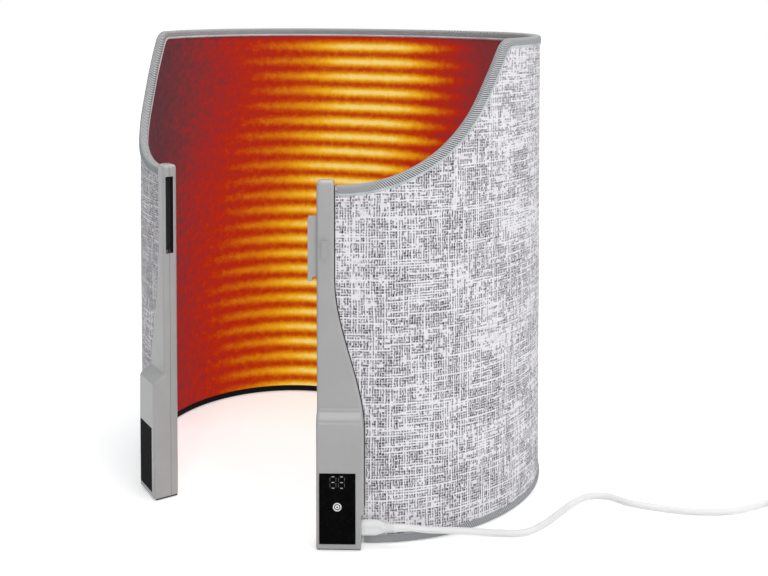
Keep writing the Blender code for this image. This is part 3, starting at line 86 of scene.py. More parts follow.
# The straight slope between the sweep and the top corner
SWEEP_RISE = SWEEP_RADIUS * (1 - math.cos(SWEEP_ANGLE))
CORNER_RISE = CORNER_RADIUS * (1 - math.cos(SWEEP_ANGLE))
SLOPE_RISE = WRAP_HEIGHT - POST_WALL_HEIGHT - SWEEP_RISE - CORNER_RISE
SLOPE_RUN = SLOPE_RISE / math.tan(SWEEP_ANGLE)
CORNER_END = SWEEP_START + (SWEEP_RADIUS + CORNER_RADIUS) * math.sin(SWEEP_ANGLE) + SLOPE_RUN

# Layers, as depths inside the fabric's outer face
COVER = (0.0, 0.0016)
FELT = (0.0038, 0.0052)
FILM = (0.0055, 0.0060)
LINING = (0.0063, 0.0075)
EDGE_INSET = 0.0011
WALL_START = 0.0104
FABRIC_RIPPLE = 0.0003
RIPPLE_SCALE = (22, 14)          # along and up, with a seed of its own
RIPPLE_SEED = 1.7
CLOTH_STEP = 0.0040
CLOTH_ROWS = 60
BINDING_OUT = 0.0012
BINDING_THICKNESS = 0.0008
BINDING_LIP = 0.0080
PIPING_RADIUS = 0.0014
TWILL_PITCH = 0.0025

# Posts
BAR_WIDTH = 0.0175
FLARE = (0.112, 0.2645)
BAR_PROUD = 0.0030
BOX_PROUD = 0.0150
# the painted shadow strip beside the fabric starts at this height
PANEL_FACE = 0.0151
SHADE_STRIP_START = 0.0375
SLOT_HEIGHTS = (0.2680, 0.3490)
SLOT_WIDTH = (0.0002, 0.0103)   # along the wall
SLOT_DEPTH = (0.0005, 0.0103)   # inward from the fabric's face
CARD_PLACE = 0.01036
PAD_PLACE = (0.0078, 0.2947)    # along the wall and up, as the next two
KEY_PLACE = (0.02105, 0.0438)
DISPLAY_PLACE = (0.0211, 0.0682)

# Softened edges
SHELL_EDGE = 0.0005
HOOK_EDGE = 0.0004
PAD_EDGE = 0.0002
PANEL_EDGE = 0.00025
KEY_EDGE = 0.00015
PLUG_EDGE = 0.0004
SHARP_ANGLE = math.radians(40)
FLAT_ANGLE = math.radians(0.5)

# Fits
SEAT_GAP = 0.0003               # between pieces that touch
FLOOR_GAP = 0.0002              # under what lies on the floor
MERGE = 0.00002                 # points closer than this are one
FINE_MERGE = 0.00001
TURNED_MERGE = 0.000005
TINY = 1e-9

# Camera, with its height above the floor, pitch and turn
CAMERA_PLACE = (0.6720, -1.0530, 0.5445)
CAMERA_PITCH = math.radians(88.1133)
CAMERA_TURN = math.radians(29.5501)
CAMERA_SHIFT = (-0.0035, -0.3348)

# Cord
CORD_DIAMETER = 0.0065
CORD_HEIGHT = CORD_DIAMETER / 2 + FLOOR_GAP
CORD_STEP = 0.003
RELIEF_START = 0.0658           # from the end face to the strain relief
RELIEF_LENGTH = 0.0200
INLET_PROUD = 0.0072
INLET_HEIGHT = 0.0200
ROUTE = (
    (0.1959, -0.1282, 0.0160),
    (0.2171, -0.1049, 0.0102),
    (0.2343, -0.0860, 0.0049),
    (0.2478, -0.0772, CORD_HEIGHT),
    (0.2655, -0.0681, CORD_HEIGHT),
    (0.2755, -0.0556, CORD_HEIGHT),
    (0.2831, -0.0316, CORD_HEIGHT),
    (0.2877, -0.0033, CORD_HEIGHT),
    (0.2940, 0.0279, CORD_HEIGHT),
    (0.3033, 0.0462, CORD_HEIGHT),
    (0.3184, 0.0537, CORD_HEIGHT),
    (0.3319, 0.0530, CORD_HEIGHT),
    (0.3453, 0.0512, CORD_HEIGHT),
    (0.3756, 0.0556, CORD_HEIGHT),
    (0.4145, 0.0676, CORD_HEIGHT),
    (0.4501, 0.0928, CORD_HEIGHT),
)
COIL_CENTRE = (0.5300, 0.1250)
COIL_RADIUS = 0.0470
COIL_PITCH = 0.0070
COIL_TURNS = 5.34
COIL_START = math.radians(141)
COIL_CLIMB = 0.5
COIL_POINTS = 48
TAIL_LENGTH = 0.0620
MAINS_THICK = 0.0136

# Lamps: name, place, size and power, as a multiple of the setting
LAMPS = (
    ("strip", (1.0, -2.2, 1.25), (0.06, 0.8), 0.38),
    ("overhead", (0.1, 0.1, 2.4), (1.2, 1.2), 1.6),
    ("right_fill", (2.1, -0.8, 1.5), (1.0, 1.0), 1.2),
    ("back_fill", (-0.8, 2.3, 1.9), (1.8, 1.8), 0.4),
)
LAMPS_AIM = (0.0, 0.0, 0.22)
FLOOR_SIZE = 24.0
FLOOR_HEIGHT = -0.0004

# Finishes that more than one piece has
# black of painted shade: the strips beside the posts, the catch's slot and the foot binding's inner side
PAINTED_SHADE_BLACK = (0.012, 0.012, 0.013)
POST_ROUGHNESS = 0.22
POST_GRAIN = 0.000008


# Settings

class WrapSettings(bpy.types.PropertyGroup):
    """Sizes and colours of the wrap's fabric."""
    thread_pitch: bpy.props.FloatProperty(
        name="Thread pitch", description="Distance between threads of the slub weave",
        default=0.0027, min=0.0005, max=0.01, unit="LENGTH", precision=4)
    light_thread: bpy.props.FloatVectorProperty(
        name="Light thread", description="Colour of most threads", subtype="COLOR",
        size=3, default=(0.91, 0.875, 0.915), min=0.0, max=1.0)
    dark_thread: bpy.props.FloatVectorProperty(
        name="Dark thread", description="Colour of the flecks and dark threads", subtype="COLOR",
        size=3, default=(0.018, 0.015, 0.019), min=0.0, max=1.0)
    binding_colour: bpy.props.FloatVectorProperty(
        name="Binding", description="Colour of the edge binding", subtype="COLOR",
        size=3, default=(0.60, 0.61, 0.62), min=0.0, max=1.0)
    piping_colour: bpy.props.FloatVectorProperty(
        name="Piping", description="Colour of the piping beside the binding", subtype="COLOR",
        size=3, default=(0.70, 0.74, 0.77), min=0.0, max=1.0)


class LiningSettings(bpy.types.PropertyGroup):
    """The heated lining."""
    rows: bpy.props.IntProperty(
        name="Rows", description="Heating rows from bottom to top", default=24, min=4, max=60)
    low_row: bpy.props.FloatProperty(
        name="Lowest row", description="Height of the lowest row above the floor",
        default=0.0083, min=0.005, max=0.1, unit="LENGTH", precision=4)
    high_row: bpy.props.FloatProperty(
        name="Highest row", description="Height of the highest row above the floor",
        default=0.4757, min=0.2, max=0.5, unit="LENGTH", precision=4)
    glow: bpy.props.FloatProperty(
        name="Glow", description="Strength of the warm glow", default=0.80, min=0.0, max=5.0)


class MouldingSettings(bpy.types.PropertyGroup):
    """Colours of the mouldings and the display's size."""
    post_colour: bpy.props.FloatVectorProperty(
        name="Posts", description="Colour of the posts", subtype="COLOR",
        size=3, default=(0.435, 0.435, 0.43), min=0.0, max=1.0)
    panel_colour: bpy.props.FloatVectorProperty(
        name="Panels", description="Colour of the glossy panels", subtype="COLOR",
        size=3, default=(0.003, 0.003, 0.0035), min=0.0, max=1.0)
    digit_height: bpy.props.FloatProperty(
        name="Digit height", description="Height of the display's digits",
        default=0.0112, min=0.004, max=0.02, unit="LENGTH", precision=4)


class CordSettings(bpy.types.PropertyGroup):
    """The mains cord."""
    diameter: bpy.props.FloatProperty(
        name="Diameter", description="Diameter of the cord",
        default=CORD_DIAMETER, min=0.003, max=0.012, unit="LENGTH", precision=4)
    colour: bpy.props.FloatVectorProperty(
        name="Cord", description="Colour of the cord and its plugs", subtype="COLOR",
        size=3, default=(0.91, 0.91, 0.90), min=0.0, max=1.0)


class StageSettings(bpy.types.PropertyGroup):
    """Floor and light."""
    floor_colour: bpy.props.FloatVectorProperty(
        name="Floor", description="Colour of the floor", subtype="COLOR",
        size=3, default=(0.93, 0.93, 0.93), min=0.0, max=1.0)
    floor_lift: bpy.props.FloatProperty(
        name="Floor brightness", description="How much the floor is lifted towards white where it is seen",
        default=0.42, min=0.0, max=1.0)
    sky_strength: bpy.props.FloatProperty(
        name="Surrounding light", description="Strength of the even light from all sides",
        default=0.37, min=0.0, max=3.0)
    lamp_power: bpy.props.FloatProperty(
        name="Lamps", description="Power that each lamp takes its multiple of",
        default=15.0, min=0.0, max=500.0, unit="POWER")


GROUPS = (
    ("heater_wrap", WrapSettings),
    ("heater_lining", LiningSettings),
    ("heater_mouldings", MouldingSettings),
    ("heater_cord", CordSettings),
    ("heater_stage", StageSettings),
)


# Plan of the wall

def plan_runs():
    """The straight end and the arcs of half the plan: start point, start angle, length and radius."""
    x, y, angle = END_X, 0.0, FRONT_ANGLE
    runs = [(x, y, angle, BOX_WIDTH, None)]
    x += BOX_WIDTH * math.cos(angle)
    y += BOX_WIDTH * math.sin(angle)
    for radius, end in PLAN_ARCS:
        radius = radius or x / math.sin(angle)
        runs.append((x, y, angle, radius * (end - angle), radius))
        x += radius * (math.sin(end) - math.sin(angle))
        y += radius * (math.cos(angle) - math.cos(end))
        angle = end
    return runs


RUNS = plan_runs()
HALF_LENGTH = sum(run[3] for run in RUNS)
WALL_LENGTH = 2 * HALF_LENGTH
FOLD = FOLD_SHARE * WALL_LENGTH


def wall_point(s, z, n=0.0):
    """Point at s along the wall and z up, n outward from its outer surface."""
    side = 1 if s <= HALF_LENGTH else -1
    rest = s if side > 0 else WALL_LENGTH - s
    for x, y, angle, length, radius in RUNS:
        if rest <= length:
            break
        rest -= length
    if radius is None:
        x += rest * math.cos(angle)
        y += rest * math.sin(angle)
    else:
        turned = angle + rest / radius
        x += radius * (math.sin(turned) - math.sin(angle))
        y += radius * (math.cos(angle) - math.cos(turned))
        angle = turned
    outward = Vector((side * math.sin(angle), -math.cos(angle), 0.0))
    return Vector((side * x, y + END_Y, z)) + outward * n


def edge_stations(start, end):
    """Points along the wrap's top edge from s = start to end: (s, z) and the direction into the wall."""
    stations = []
    for k in range(SWEEP_STEPS + 1):
        a = SWEEP_ANGLE * k / SWEEP_STEPS
        s = SWEEP_START + SWEEP_RADIUS * math.sin(a)
        stations.append((s, POST_WALL_HEIGHT + SWEEP_RADIUS * (1 - math.cos(a)), a))
    sweep_end, sweep_top, a = stations[-1]
    for k in range(1, SLOPE_STEPS + 1):
        share = k / SLOPE_STEPS
        stations.append((sweep_end + SLOPE_RUN * share, sweep_top + SLOPE_RISE * share, a))
    for k in range(1, CORNER_STEPS + 1):
        a = SWEEP_ANGLE * (1 - k / CORNER_STEPS)
        s = CORNER_END - CORNER_RADIUS * math.sin(a)
        stations.append((s, WRAP_HEIGHT - CORNER_RADIUS * (1 - math.cos(a)), a))
    level_run = HALF_LENGTH - CORNER_END
    count = round(level_run / CLOTH_STEP)
    stations += [(CORNER_END + level_run * k / count, WRAP_HEIGHT, 0.0) for k in range(1, count + 1)]
    both = [(s, z, math.sin(a), -math.cos(a)) for s, z, a in stations]
    both += [(WALL_LENGTH - s, z, -ds, dz) for s, z, ds, dz in reversed(both[:-1])]
    return [station for station in both if start - TINY <= station[0] <= end + TINY]


def edge_height(s, inset):
    """Height of the wall's top at s, moved inset into the wall."""
    near = min(s, WALL_LENGTH - s)
    sweep = SWEEP_RADIUS + inset
    corner = CORNER_RADIUS - inset
    sweep_end = SWEEP_START + sweep * math.sin(SWEEP_ANGLE)
    if near <= SWEEP_START:
        return POST_WALL_HEIGHT - inset
    if near <= sweep_end:
        return POST_WALL_HEIGHT + SWEEP_RADIUS - math.sqrt(sweep**2 - (near - SWEEP_START)**2)
    if near >= CORNER_END:
        return WRAP_HEIGHT - inset
    if near >= CORNER_END - corner * math.sin(SWEEP_ANGLE):
        return WRAP_HEIGHT - CORNER_RADIUS + math.sqrt(corner**2 - (CORNER_END - near)**2)
    low = POST_WALL_HEIGHT + SWEEP_RADIUS - sweep * math.cos(SWEEP_ANGLE)
    return low + (near - sweep_end) * math.tan(SWEEP_ANGLE)


def post_matrix(side):
    """Frame of a post: X along the wall towards the fabric for the right one, -Y outward."""
    return Matrix.Translation((side * END_X, END_Y, 0.0)) @ Matrix.Rotation(side * FRONT_ANGLE, 4, "Z")


def post_point(side, u, n, z):
    return post_matrix(side) @ Vector((side * u, -n, z))


def post_face(u, n, z):
    """Frame on the right post's front: X along the wall, Y up and Z outward."""
    place = Matrix.Translation((u, -n, z))
    return post_matrix(1) @ place @ Matrix.Rotation(math.radians(90), 4, "X")


def ease(low, high, value):
    """0 below low, 1 above high, and a smooth step between them."""
    share = min(max((value - low) / (high - low), 0.0), 1.0)
    return share * share * (3 - 2 * share)


def post_width(z):
    return BOX_WIDTH + (BAR_WIDTH - BOX_WIDTH) * ease(*FLARE, z)


# Materials

def toned(colour, factor):
    """The colour made darker or lighter."""
    return tuple(min(1.0, factor * part) for part in colour)


class Nodes:
    """Builds one material's node tree."""

    def __init__(self, name):
        self.material = bpy.data.materials.new(name)
        self.material.use_nodes = True
        self.tree = self.material.node_tree
        self.shader = self.tree.nodes["Principled BSDF"]

    def node(self, kind, inputs=None, **settings):
        node = self.tree.nodes.new("ShaderNode" + kind)
        for key, value in settings.items():
            setattr(node, key, value)
        for key, value in (inputs or {}).items():
            self.put(node.inputs[key], value)
        return node

    def add(self, kind, inputs=None, out=0, **settings):
        """A new node's output, by number or name."""
        return self.node(kind, inputs, **settings).outputs[out]

    def put(self, socket, value):
        if isinstance(value, bpy.types.NodeSocket):
            self.tree.links.new(value, socket)
        elif socket.type == "RGBA" and len(value) == 3:
            socket.default_value = (*value, 1.0)
        else:
            socket.default_value = value

    def math(self, operation, *values, clamp=False):
        return self.add("Math", dict(enumerate(values)), operation=operation, use_clamp=clamp)

    def plus(self, a, b):
        return self.math("ADD", a, b)

    def minus(self, a, b):
        return self.math("SUBTRACT", a, b)

    def times(self, a, b):
        return self.math("MULTIPLY", a, b)

    def size(self, value):
        return self.math("ABSOLUTE", value)

    def scaled(self, value, factor, added):
        return self.math("MULTIPLY_ADD", value, factor, added)

    def centred(self, value):
        """A value between 0 and 1, moved to lie about 0."""
        return self.minus(value, 0.5)

    def dimmed(self, value, share, amount):
        """The value, less by amount of it where share is 1."""
        return self.times(value, self.scaled(share, -amount, 1.0))

    def faded(self, value, share, least):
        """The value where share is 1, and least of it where share is 0."""
        return self.times(value, self.scaled(share, 1.0 - least, least))

    def mix(self, share, low, high):
        node = self.node("Mix", {"Factor": share}, data_type="RGBA")
        colours = [socket for socket in node.inputs if socket.type == "RGBA"]
        self.put(colours[0], low)
        self.put(colours[1], high)
        return next(socket for socket in node.outputs if socket.type == "RGBA")

    def ramp(self, value, stops):
        node = self.node("ValToRGB", {0: value})
        band = node.color_ramp
        while len(band.elements) < len(stops):
            band.elements.new(0.5)
        for element, (place, colour) in zip(band.elements, stops):
            element.position = place
            element.color = (*colour, 1.0)
        return node.outputs[0]

    def vector(self, x, y, z=0.0):
        return self.add("CombineXYZ", {"X": x, "Y": y, "Z": z})

    def place(self):
        """Place on the object."""
        return self.add("TexCoord", out="Object")

    def cloth_place(self):
        """Distances along and up the cloth, from its own UV map."""
        parts = self.node("SeparateXYZ", {0: self.add("UVMap", uv_map="cloth")})
        return parts.outputs["X"], parts.outputs["Y"]

    def noise(self, place, scale, detail=2.0, roughness=0.5):
        return self.add(
            "TexNoise", {"Vector": place, "Scale": scale, "Detail": detail, "Roughness": roughness})

    def streaks(self, x, y, x_scale, y_scale, seed=0.0, detail=2.0, roughness=0.5):
        """Noise with a scale of its own each way."""
        place = self.vector(self.times(x, x_scale), self.times(y, y_scale), seed)
        return self.noise(place, 1.0, detail, roughness)

    def smooth(self, value, low, high):
        """A smooth step from 0 at low to 1 at high."""
        inputs = {"Value": value, "From Min": low, "From Max": high}
        return self.add("MapRange", inputs, interpolation_type="SMOOTHSTEP")

    def bump(self, height, distance, strength):
        made = self.add("Bump", {"Height": height, "Distance": distance, "Strength": strength})
        self.put(self.shader.inputs["Normal"], made)

    def surface(self, **values):
        for key, value in values.items():
            self.put(self.shader.inputs[key.replace("_", " ")], value)
        return self.material


def thread_runs(nodes, thread, along, seed, pace=0.075):
    """Slow changes along each thread: a value about 0.5 that differs from thread to thread."""
    apart = 7.31
    return nodes.streaks(thread, along, apart, pace, seed, roughness=0.6)


def thick_thread(nodes, place, along, seed):
    """1 on the long thick threads that lie between two lines of flecks."""
    shifted = nodes.plus(place, 0.5)
    thread = nodes.math("FLOOR", shifted)
    off = nodes.size(nodes.centred(nodes.math("FRACT", shifted)))
    runs = thread_runs(nodes, thread, along, seed, pace=0.04)
    return nodes.times(nodes.smooth(runs, 0.47, 0.42), nodes.smooth(off, 0.40, 0.20))


def dark_thread(nodes, runs, off):
    """1 on the stretches of a thread that are dark."""
    return nodes.times(nodes.smooth(runs, 0.595, 0.66), nodes.smooth(off, 0.24, 0.06))


def fleck_density(nodes, s, z, runs_up, runs_across):
    """How likely a gap between the threads shows dark: over about 0 it does."""
    patch = nodes.noise(nodes.vector(s, z, 3.0), scale=18.0, detail=4.0, roughness=0.6)
    density = nodes.plus(nodes.times(runs_up, 2.2), nodes.times(runs_across, 2.4))
    density = nodes.plus(density, nodes.times(patch, 2.2))
    # painted shade: a little darker low down, beside the posts and on the left wing
    side = nodes.math("MINIMUM", s, nodes.minus(WALL_LENGTH, s))
    painted_shade_bias = nodes.times(nodes.smooth(z, 0.50, 0.05), 0.14)
    painted_shade_bias = nodes.scaled(nodes.smooth(side, 0.26, 0.06), 0.16, painted_shade_bias)
    painted_shade_bias = nodes.scaled(nodes.smooth(s, WALL_LENGTH - 0.20, WALL_LENGTH - 0.06), 0.30, painted_shade_bias)
    usual = 2.78
    return nodes.minus(nodes.plus(density, painted_shade_bias), usual)


def slub_weave(settings):
    """Plain weave of light threads: a dark fleck in most gaps, and light and dark slubs both ways."""
    nodes = Nodes("slub_weave")
    s, z = nodes.cloth_place()
    # the threads wander slowly, and stir a little everywhere
    wander, slow, quick = 0.0050, 8.0, 32.0
    woven_z = nodes.scaled(nodes.streaks(s, z, slow, quick), wander, z)
    woven_s = nodes.scaled(nodes.streaks(s, z, quick, slow, seed=5.0), wander, s)
    stir = nodes.noise(nodes.vector(s, z, 8.0), scale=150.0)
    woven_z = nodes.scaled(stir, 0.0016, woven_z)
    woven_s = nodes.scaled(stir, 0.0013, woven_s)
    across = nodes.math("DIVIDE", woven_s, settings.thread_pitch)
    up = nodes.math("DIVIDE", woven_z, settings.thread_pitch)
    column = nodes.math("FLOOR", across)
    row = nodes.math("FLOOR", up)
    far_s = nodes.centred(nodes.math("FRACT", across))
    far_z = nodes.centred(nodes.math("FRACT", up))
    runs_up = thread_runs(nodes, column, up, seed=0.0)
    runs_across = thread_runs(nodes, row, across, seed=9.0)
    # every gap has its own fleck: place, shape and darkness
    crossing = nodes.node("TexWhiteNoise", {"Vector": nodes.vector(column, row)}, noise_dimensions="2D")
    chance = crossing.outputs["Value"]
    left, low, shape = nodes.node("SeparateColor", {0: crossing.outputs["Color"]}).outputs
    reach = 0.15
    off_s = nodes.size(nodes.plus(far_s, nodes.scaled(left, 2 * reach, -reach)))
    off_z = nodes.size(nodes.plus(far_z, nodes.scaled(low, 2 * reach, -reach)))
    past_s = nodes.minus(off_s, nodes.scaled(shape, 0.30, 0.19))
    past_z = nodes.minus(off_z, nodes.scaled(shape, -0.26, 0.55))
    spot = nodes.times(nodes.smooth(past_s, 0.10, -0.05), nodes.smooth(past_z, 0.10, -0.05))
    density = fleck_density(nodes, s, z, runs_up, runs_across)
    over = nodes.minus(density, nodes.times(chance, 0.8))
    fleck = nodes.times(nodes.smooth(over, -0.05, 0.16), spot)
    fleck = nodes.faded(fleck, left, 0.60)
    # dark and light slubs
    near_column = nodes.size(far_s)
    near_row = nodes.size(far_z)
    dark_up = dark_thread(nodes, runs_up, near_column)
    dark_across = dark_thread(nodes, runs_across, near_row)
    lines = nodes.math("MAXIMUM", dark_up, dark_across)
    bright_up = thick_thread(nodes, across, up, seed=17.0)
    bright_across = thick_thread(nodes, up, across, seed=23.0)
    bright = nodes.math("MAXIMUM", bright_up, bright_across)
    # fibres of the threads
    fine, long = 1100.0, 260.0
    fibre_up = nodes.streaks(s, z, fine, long)
    fibre_across = nodes.streaks(s, z, long, fine, seed=4.0)
    fibre = nodes.math("MINIMUM", fibre_up, fibre_across)
    shade = nodes.math("MAXIMUM", nodes.times(fleck, 0.95), nodes.times(lines, 0.60))
    shade = nodes.dimmed(shade, bright, 0.90)
    tint = nodes.mix(nodes.smooth(fibre, 0.24, 0.46), (0.40, 0.38, 0.405), settings.light_thread)
    tint = nodes.mix(nodes.times(bright, 0.8), tint, (0.95, 0.94, 0.965))
    colour = nodes.mix(shade, tint, settings.dark_thread)
    over_under = nodes.minus(0.5, nodes.times(near_column, near_row))
    height = nodes.minus(nodes.plus(over_under, nodes.times(fibre, 0.5)), shade)
    nodes.bump(height, distance=0.00035, strength=0.7)
    return nodes.surface(Base_Color=colour, Roughness=0.92, Sheen_Weight=0.15, Specular_IOR_Level=0.2)


def heating_rows(nodes, s, z, settings):
    """1 on the middle of each heating row and 0 between the rows."""
    gap = (settings.high_row - settings.low_row) / (settings.rows - 1)
    drift = nodes.streaks(s, z, 6.0, 2.0)
    phase = nodes.times(nodes.minus(z, settings.low_row), 2 * math.pi / gap)
    phase = nodes.plus(phase, nodes.times(nodes.centred(drift), 0.4))
    return nodes.math("POWER", nodes.scaled(nodes.math("COSINE", phase), 0.5, 0.5), 0.95)


def glowing_lining(settings):
    """Dark red velvet with a painted glow of the heating rows behind it, from pale yellow in the middle to
    maroon.
    """
    nodes = Nodes("glowing_lining")
    s, z = nodes.cloth_place()
    row = heating_rows(nodes, s, z, settings)
    # from the left: maroon, red, then the rows part into hot lines and gaps; the right side cools off
    slow = nodes.streaks(s, z, 10.0, 26.0, seed=1.0, detail=3.0)
    place = nodes.plus(s, nodes.scaled(slow, 0.060, -0.030))
    # the low rows reach further to the left
    place = nodes.plus(place, nodes.scaled(nodes.smooth(z, 0.16, 0.46), 0.060, -0.035))
    warm = nodes.times(nodes.smooth(place, 1.040, 0.835), 0.43)
    gap_heat = nodes.scaled(nodes.smooth(place, 0.850, 0.700), 0.13, warm)
    core_heat = nodes.scaled(nodes.smooth(place, 0.875, 0.790), 0.22, warm)
    core_heat = nodes.scaled(nodes.smooth(place, 0.805, 0.685), 0.32, core_heat)
    cool = nodes.smooth(place, 0.470, 0.640)
    ends = nodes.times(nodes.smooth(z, 0.494, 0.483), nodes.smooth(z, -0.002, 0.006))
    hot = nodes.times(nodes.times(row, ends), cool)
    row_heat = nodes.times(nodes.minus(core_heat, gap_heat), hot)
    heat = nodes.plus(row_heat, nodes.faded(gap_heat, cool, 0.45))
    heat = nodes.faded(heat, ends, 0.50)
    heat = nodes.faded(heat, nodes.smooth(s, 0.36, 0.54), 0.50)
    # the pile breaks up the colour, less on the hot rows
    pile = nodes.noise(nodes.vector(s, z), scale=900.0, detail=3.0, roughness=0.6)
    lines = nodes.streaks(s, z, 420.0, 60.0)
    mottle = nodes.noise(nodes.vector(s, z, 6.0), scale=120.0, detail=5.0, roughness=0.7)
    grain = nodes.plus(nodes.times(pile, 0.55), nodes.times(lines, 0.45))
    grain = nodes.scaled(nodes.centred(grain), 0.26, nodes.times(nodes.centred(mottle), 0.85))
    grain = nodes.dimmed(grain, hot, 0.35)
    grain = nodes.dimmed(grain, nodes.smooth(place, 0.92, 0.78), 0.60)
    heat = nodes.math("ADD", nodes.plus(heat, 0.04), grain, clamp=True)
    colour = nodes.ramp(heat, (
        (0.00, (0.088, 0.030, 0.040)),
        (0.12, (0.135, 0.031, 0.038)),
        (0.26, (0.230, 0.028, 0.030)),
        (0.40, (0.390, 0.019, 0.015)),
        (0.52, (0.500, 0.020, 0.001)),
        (0.62, (0.560, 0.070, 0.000)),
        (0.78, (0.780, 0.270, 0.002)),
        (0.90, (0.930, 0.500, 0.020)),
        (1.00, (1.000, 0.740, 0.230)),
    ))
    # the colour is emitted as a painted glow, over a nearly black base colour
    unlit = nodes.mix(0.90, colour, (0.02, 0.006, 0.007))
    nodes.bump(nodes.plus(pile, lines), distance=0.0003, strength=0.6)
    return nodes.surface(
        Base_Color=unlit, Roughness=0.95, Sheen_Weight=0.03, Specular_IOR_Level=0.06,
        Emission_Color=colour, Emission_Strength=settings.glow)


def twill(name, colour, inside=None):
    """Fine diagonal ribs, with painted shade in another colour on the inner side where that is given."""
    nodes = Nodes(name)
    s, z = nodes.cloth_place()
    fray = nodes.noise(nodes.vector(s, z), scale=700.0)
    slant = nodes.scaled(fray, 0.0008, nodes.plus(s, nodes.times(z, 0.62)))
    wave = nodes.scaled(nodes.math("SINE", nodes.times(slant, 2 * math.pi / TWILL_PITCH)), 0.5, 0.5)
    share = nodes.plus(nodes.times(wave, 0.90), nodes.times(fray, 0.25))
    ribs = nodes.mix(share, toned(colour, 1.35), toned(colour, 0.12))
    if inside:
        ribs = nodes.mix(nodes.smooth(z, 0.0118, 0.0108), ribs, inside)
    nodes.bump(wave, distance=0.00025, strength=0.8)
    return nodes.surface(Base_Color=ribs, Roughness=0.88, Sheen_Weight=0.05, Specular_IOR_Level=0.1)


def plain_cloth(name, colour, scale, depth=0.0004):
    """Matted or knitted cloth with a fine fibre."""
    nodes = Nodes(name)
    place = nodes.place()
    fibre = nodes.noise(place, scale, detail=3.0, roughness=0.65)
    coarser = 30
    cloud = nodes.noise(place, scale / coarser, detail=3.0)
    share = nodes.plus(nodes.times(fibre, 0.6), nodes.times(cloud, 0.4))
    tint = nodes.mix(nodes.smooth(share, 0.36, 0.60), toned(colour, 0.62), colour)
    nodes.bump(fibre, depth, strength=0.7)
    return nodes.surface(Base_Color=tint, Roughness=0.93, Sheen_Weight=0.1, Specular_IOR_Level=0.2)


def moulded(name, colour, roughness, grain=0.00004):
    """Moulded plastic with a fine spark-eroded grain and faint handling marks."""
    nodes = Nodes(name)
    place = nodes.place()
    fine = nodes.noise(place, scale=2600.0, detail=2.0, roughness=0.6)
    cloud = nodes.noise(place, scale=18.0, detail=4.0, roughness=0.6)
    marks = nodes.scaled(nodes.centred(cloud), 0.16, roughness)
    rough = nodes.scaled(nodes.centred(fine), 0.06, marks)
    tint = nodes.mix(nodes.smooth(cloud, 0.35, 0.65), toned(colour, 0.94), colour)
    nodes.bump(fine, grain, strength=0.6)
    return nodes.surface(Base_Color=tint, Roughness=rough, Specular_IOR_Level=0.45)


def glossy_panel(colour):
    """Smoked acrylic with a little dust."""
    nodes = Nodes("glossy_panel")
    dust = nodes.noise(nodes.place(), scale=320.0, detail=3.0, roughness=0.7)
    rough = nodes.scaled(nodes.smooth(dust, 0.52, 0.80), 0.22, 0.10)
    dusty = tuple(part + 0.003 for part in colour)
    tint = nodes.mix(nodes.smooth(dust, 0.4, 0.7), colour, dusty)
    nodes.bump(dust, distance=0.00001, strength=0.4)
    return nodes.surface(Base_Color=tint, Roughness=rough, Specular_IOR_Level=0.004)


def metal(name, colour, roughness=0.3):
    """Brushed or plated metal."""
    nodes = Nodes(name)
    streak = nodes.noise(nodes.place(), scale=1400.0, detail=3.0, roughness=0.7)
    spread = 0.18
    rough = nodes.scaled(streak, spread, roughness - spread / 2)
    nodes.bump(streak, distance=0.00002, strength=0.5)
    tint = nodes.mix(streak, toned(colour, 0.82), colour)
    return nodes.surface(Base_Color=tint, Roughness=rough, Metallic=1.0)


def circuit_board():
    """Solder mask with faint tracks."""
    nodes = Nodes("circuit_board")
    place = nodes.place()
    tracks = nodes.add("TexBrick", {
        "Vector": place, "Scale": 260.0, "Mortar Size": 0.06, "Color1": (0.015, 0.12, 0.05),
        "Color2": (0.02, 0.15, 0.06), "Mortar": (0.05, 0.26, 0.10)})
    nodes.bump(nodes.noise(place, scale=900.0), distance=0.00002, strength=0.5)
    return nodes.surface(Base_Color=tracks, Roughness=0.45)


def light_mark(name, colour, strength):
    """Mark on a dark panel that emits its colour: a lit display segment, and white print with a painted
    glow.
    """
    nodes = Nodes(name)
    grain = nodes.noise(nodes.place(), scale=3000.0)
    tint = nodes.mix(nodes.smooth(grain, 0.3, 0.6), toned(colour, 0.8), colour)
    return nodes.surface(
        Base_Color=tint, Roughness=0.45, Emission_Color=tint, Emission_Strength=strength)


# Making pieces

def linked(name, data):
    """A new object in the scene that shows the data."""
    thing = bpy.data.objects.new(name, data)
    bpy.context.scene.collection.objects.link(thing)
    return thing


def select_only(thing):
    bpy.ops.object.select_all(action="DESELECT")
    thing.select_set(True)
    bpy.context.view_layer.objects.active = thing


def apply_modifiers(thing):
    bpy.context.view_layer.objects.active = thing
    for step in list(thing.modifiers):
        bpy.ops.object.modifier_apply(modifier=step.name)


def weld(thing, distance=MERGE, fill_ends=False):
    """Merges doubled points, closes open ends where asked, and points the faces outwards."""
    select_only(thing)
    bpy.ops.object.mode_set(mode="EDIT")
    bpy.ops.mesh.select_all(action="SELECT")
    bpy.ops.mesh.remove_doubles(threshold=distance)
    if fill_ends:
        bpy.ops.mesh.select_all(action="DESELECT")
        bpy.ops.mesh.select_non_manifold()
        bpy.ops.mesh.edge_face_add()
        bpy.ops.mesh.select_all(action="SELECT")
    bpy.ops.mesh.normals_make_consistent(inside=False)
    bpy.ops.object.mode_set(mode="OBJECT")
    return thing


def finish_piece(thing, name, material, smooth=35):
    """Names a piece, gives it its material and smooth shading with crisp edges."""
    thing.name = name
    thing.data.name = name
    thing.data.materials.clear()
    thing.data.materials.append(material)
    select_only(thing)
    bpy.ops.object.shade_smooth_by_angle(angle=math.radians(smooth))
    return thing


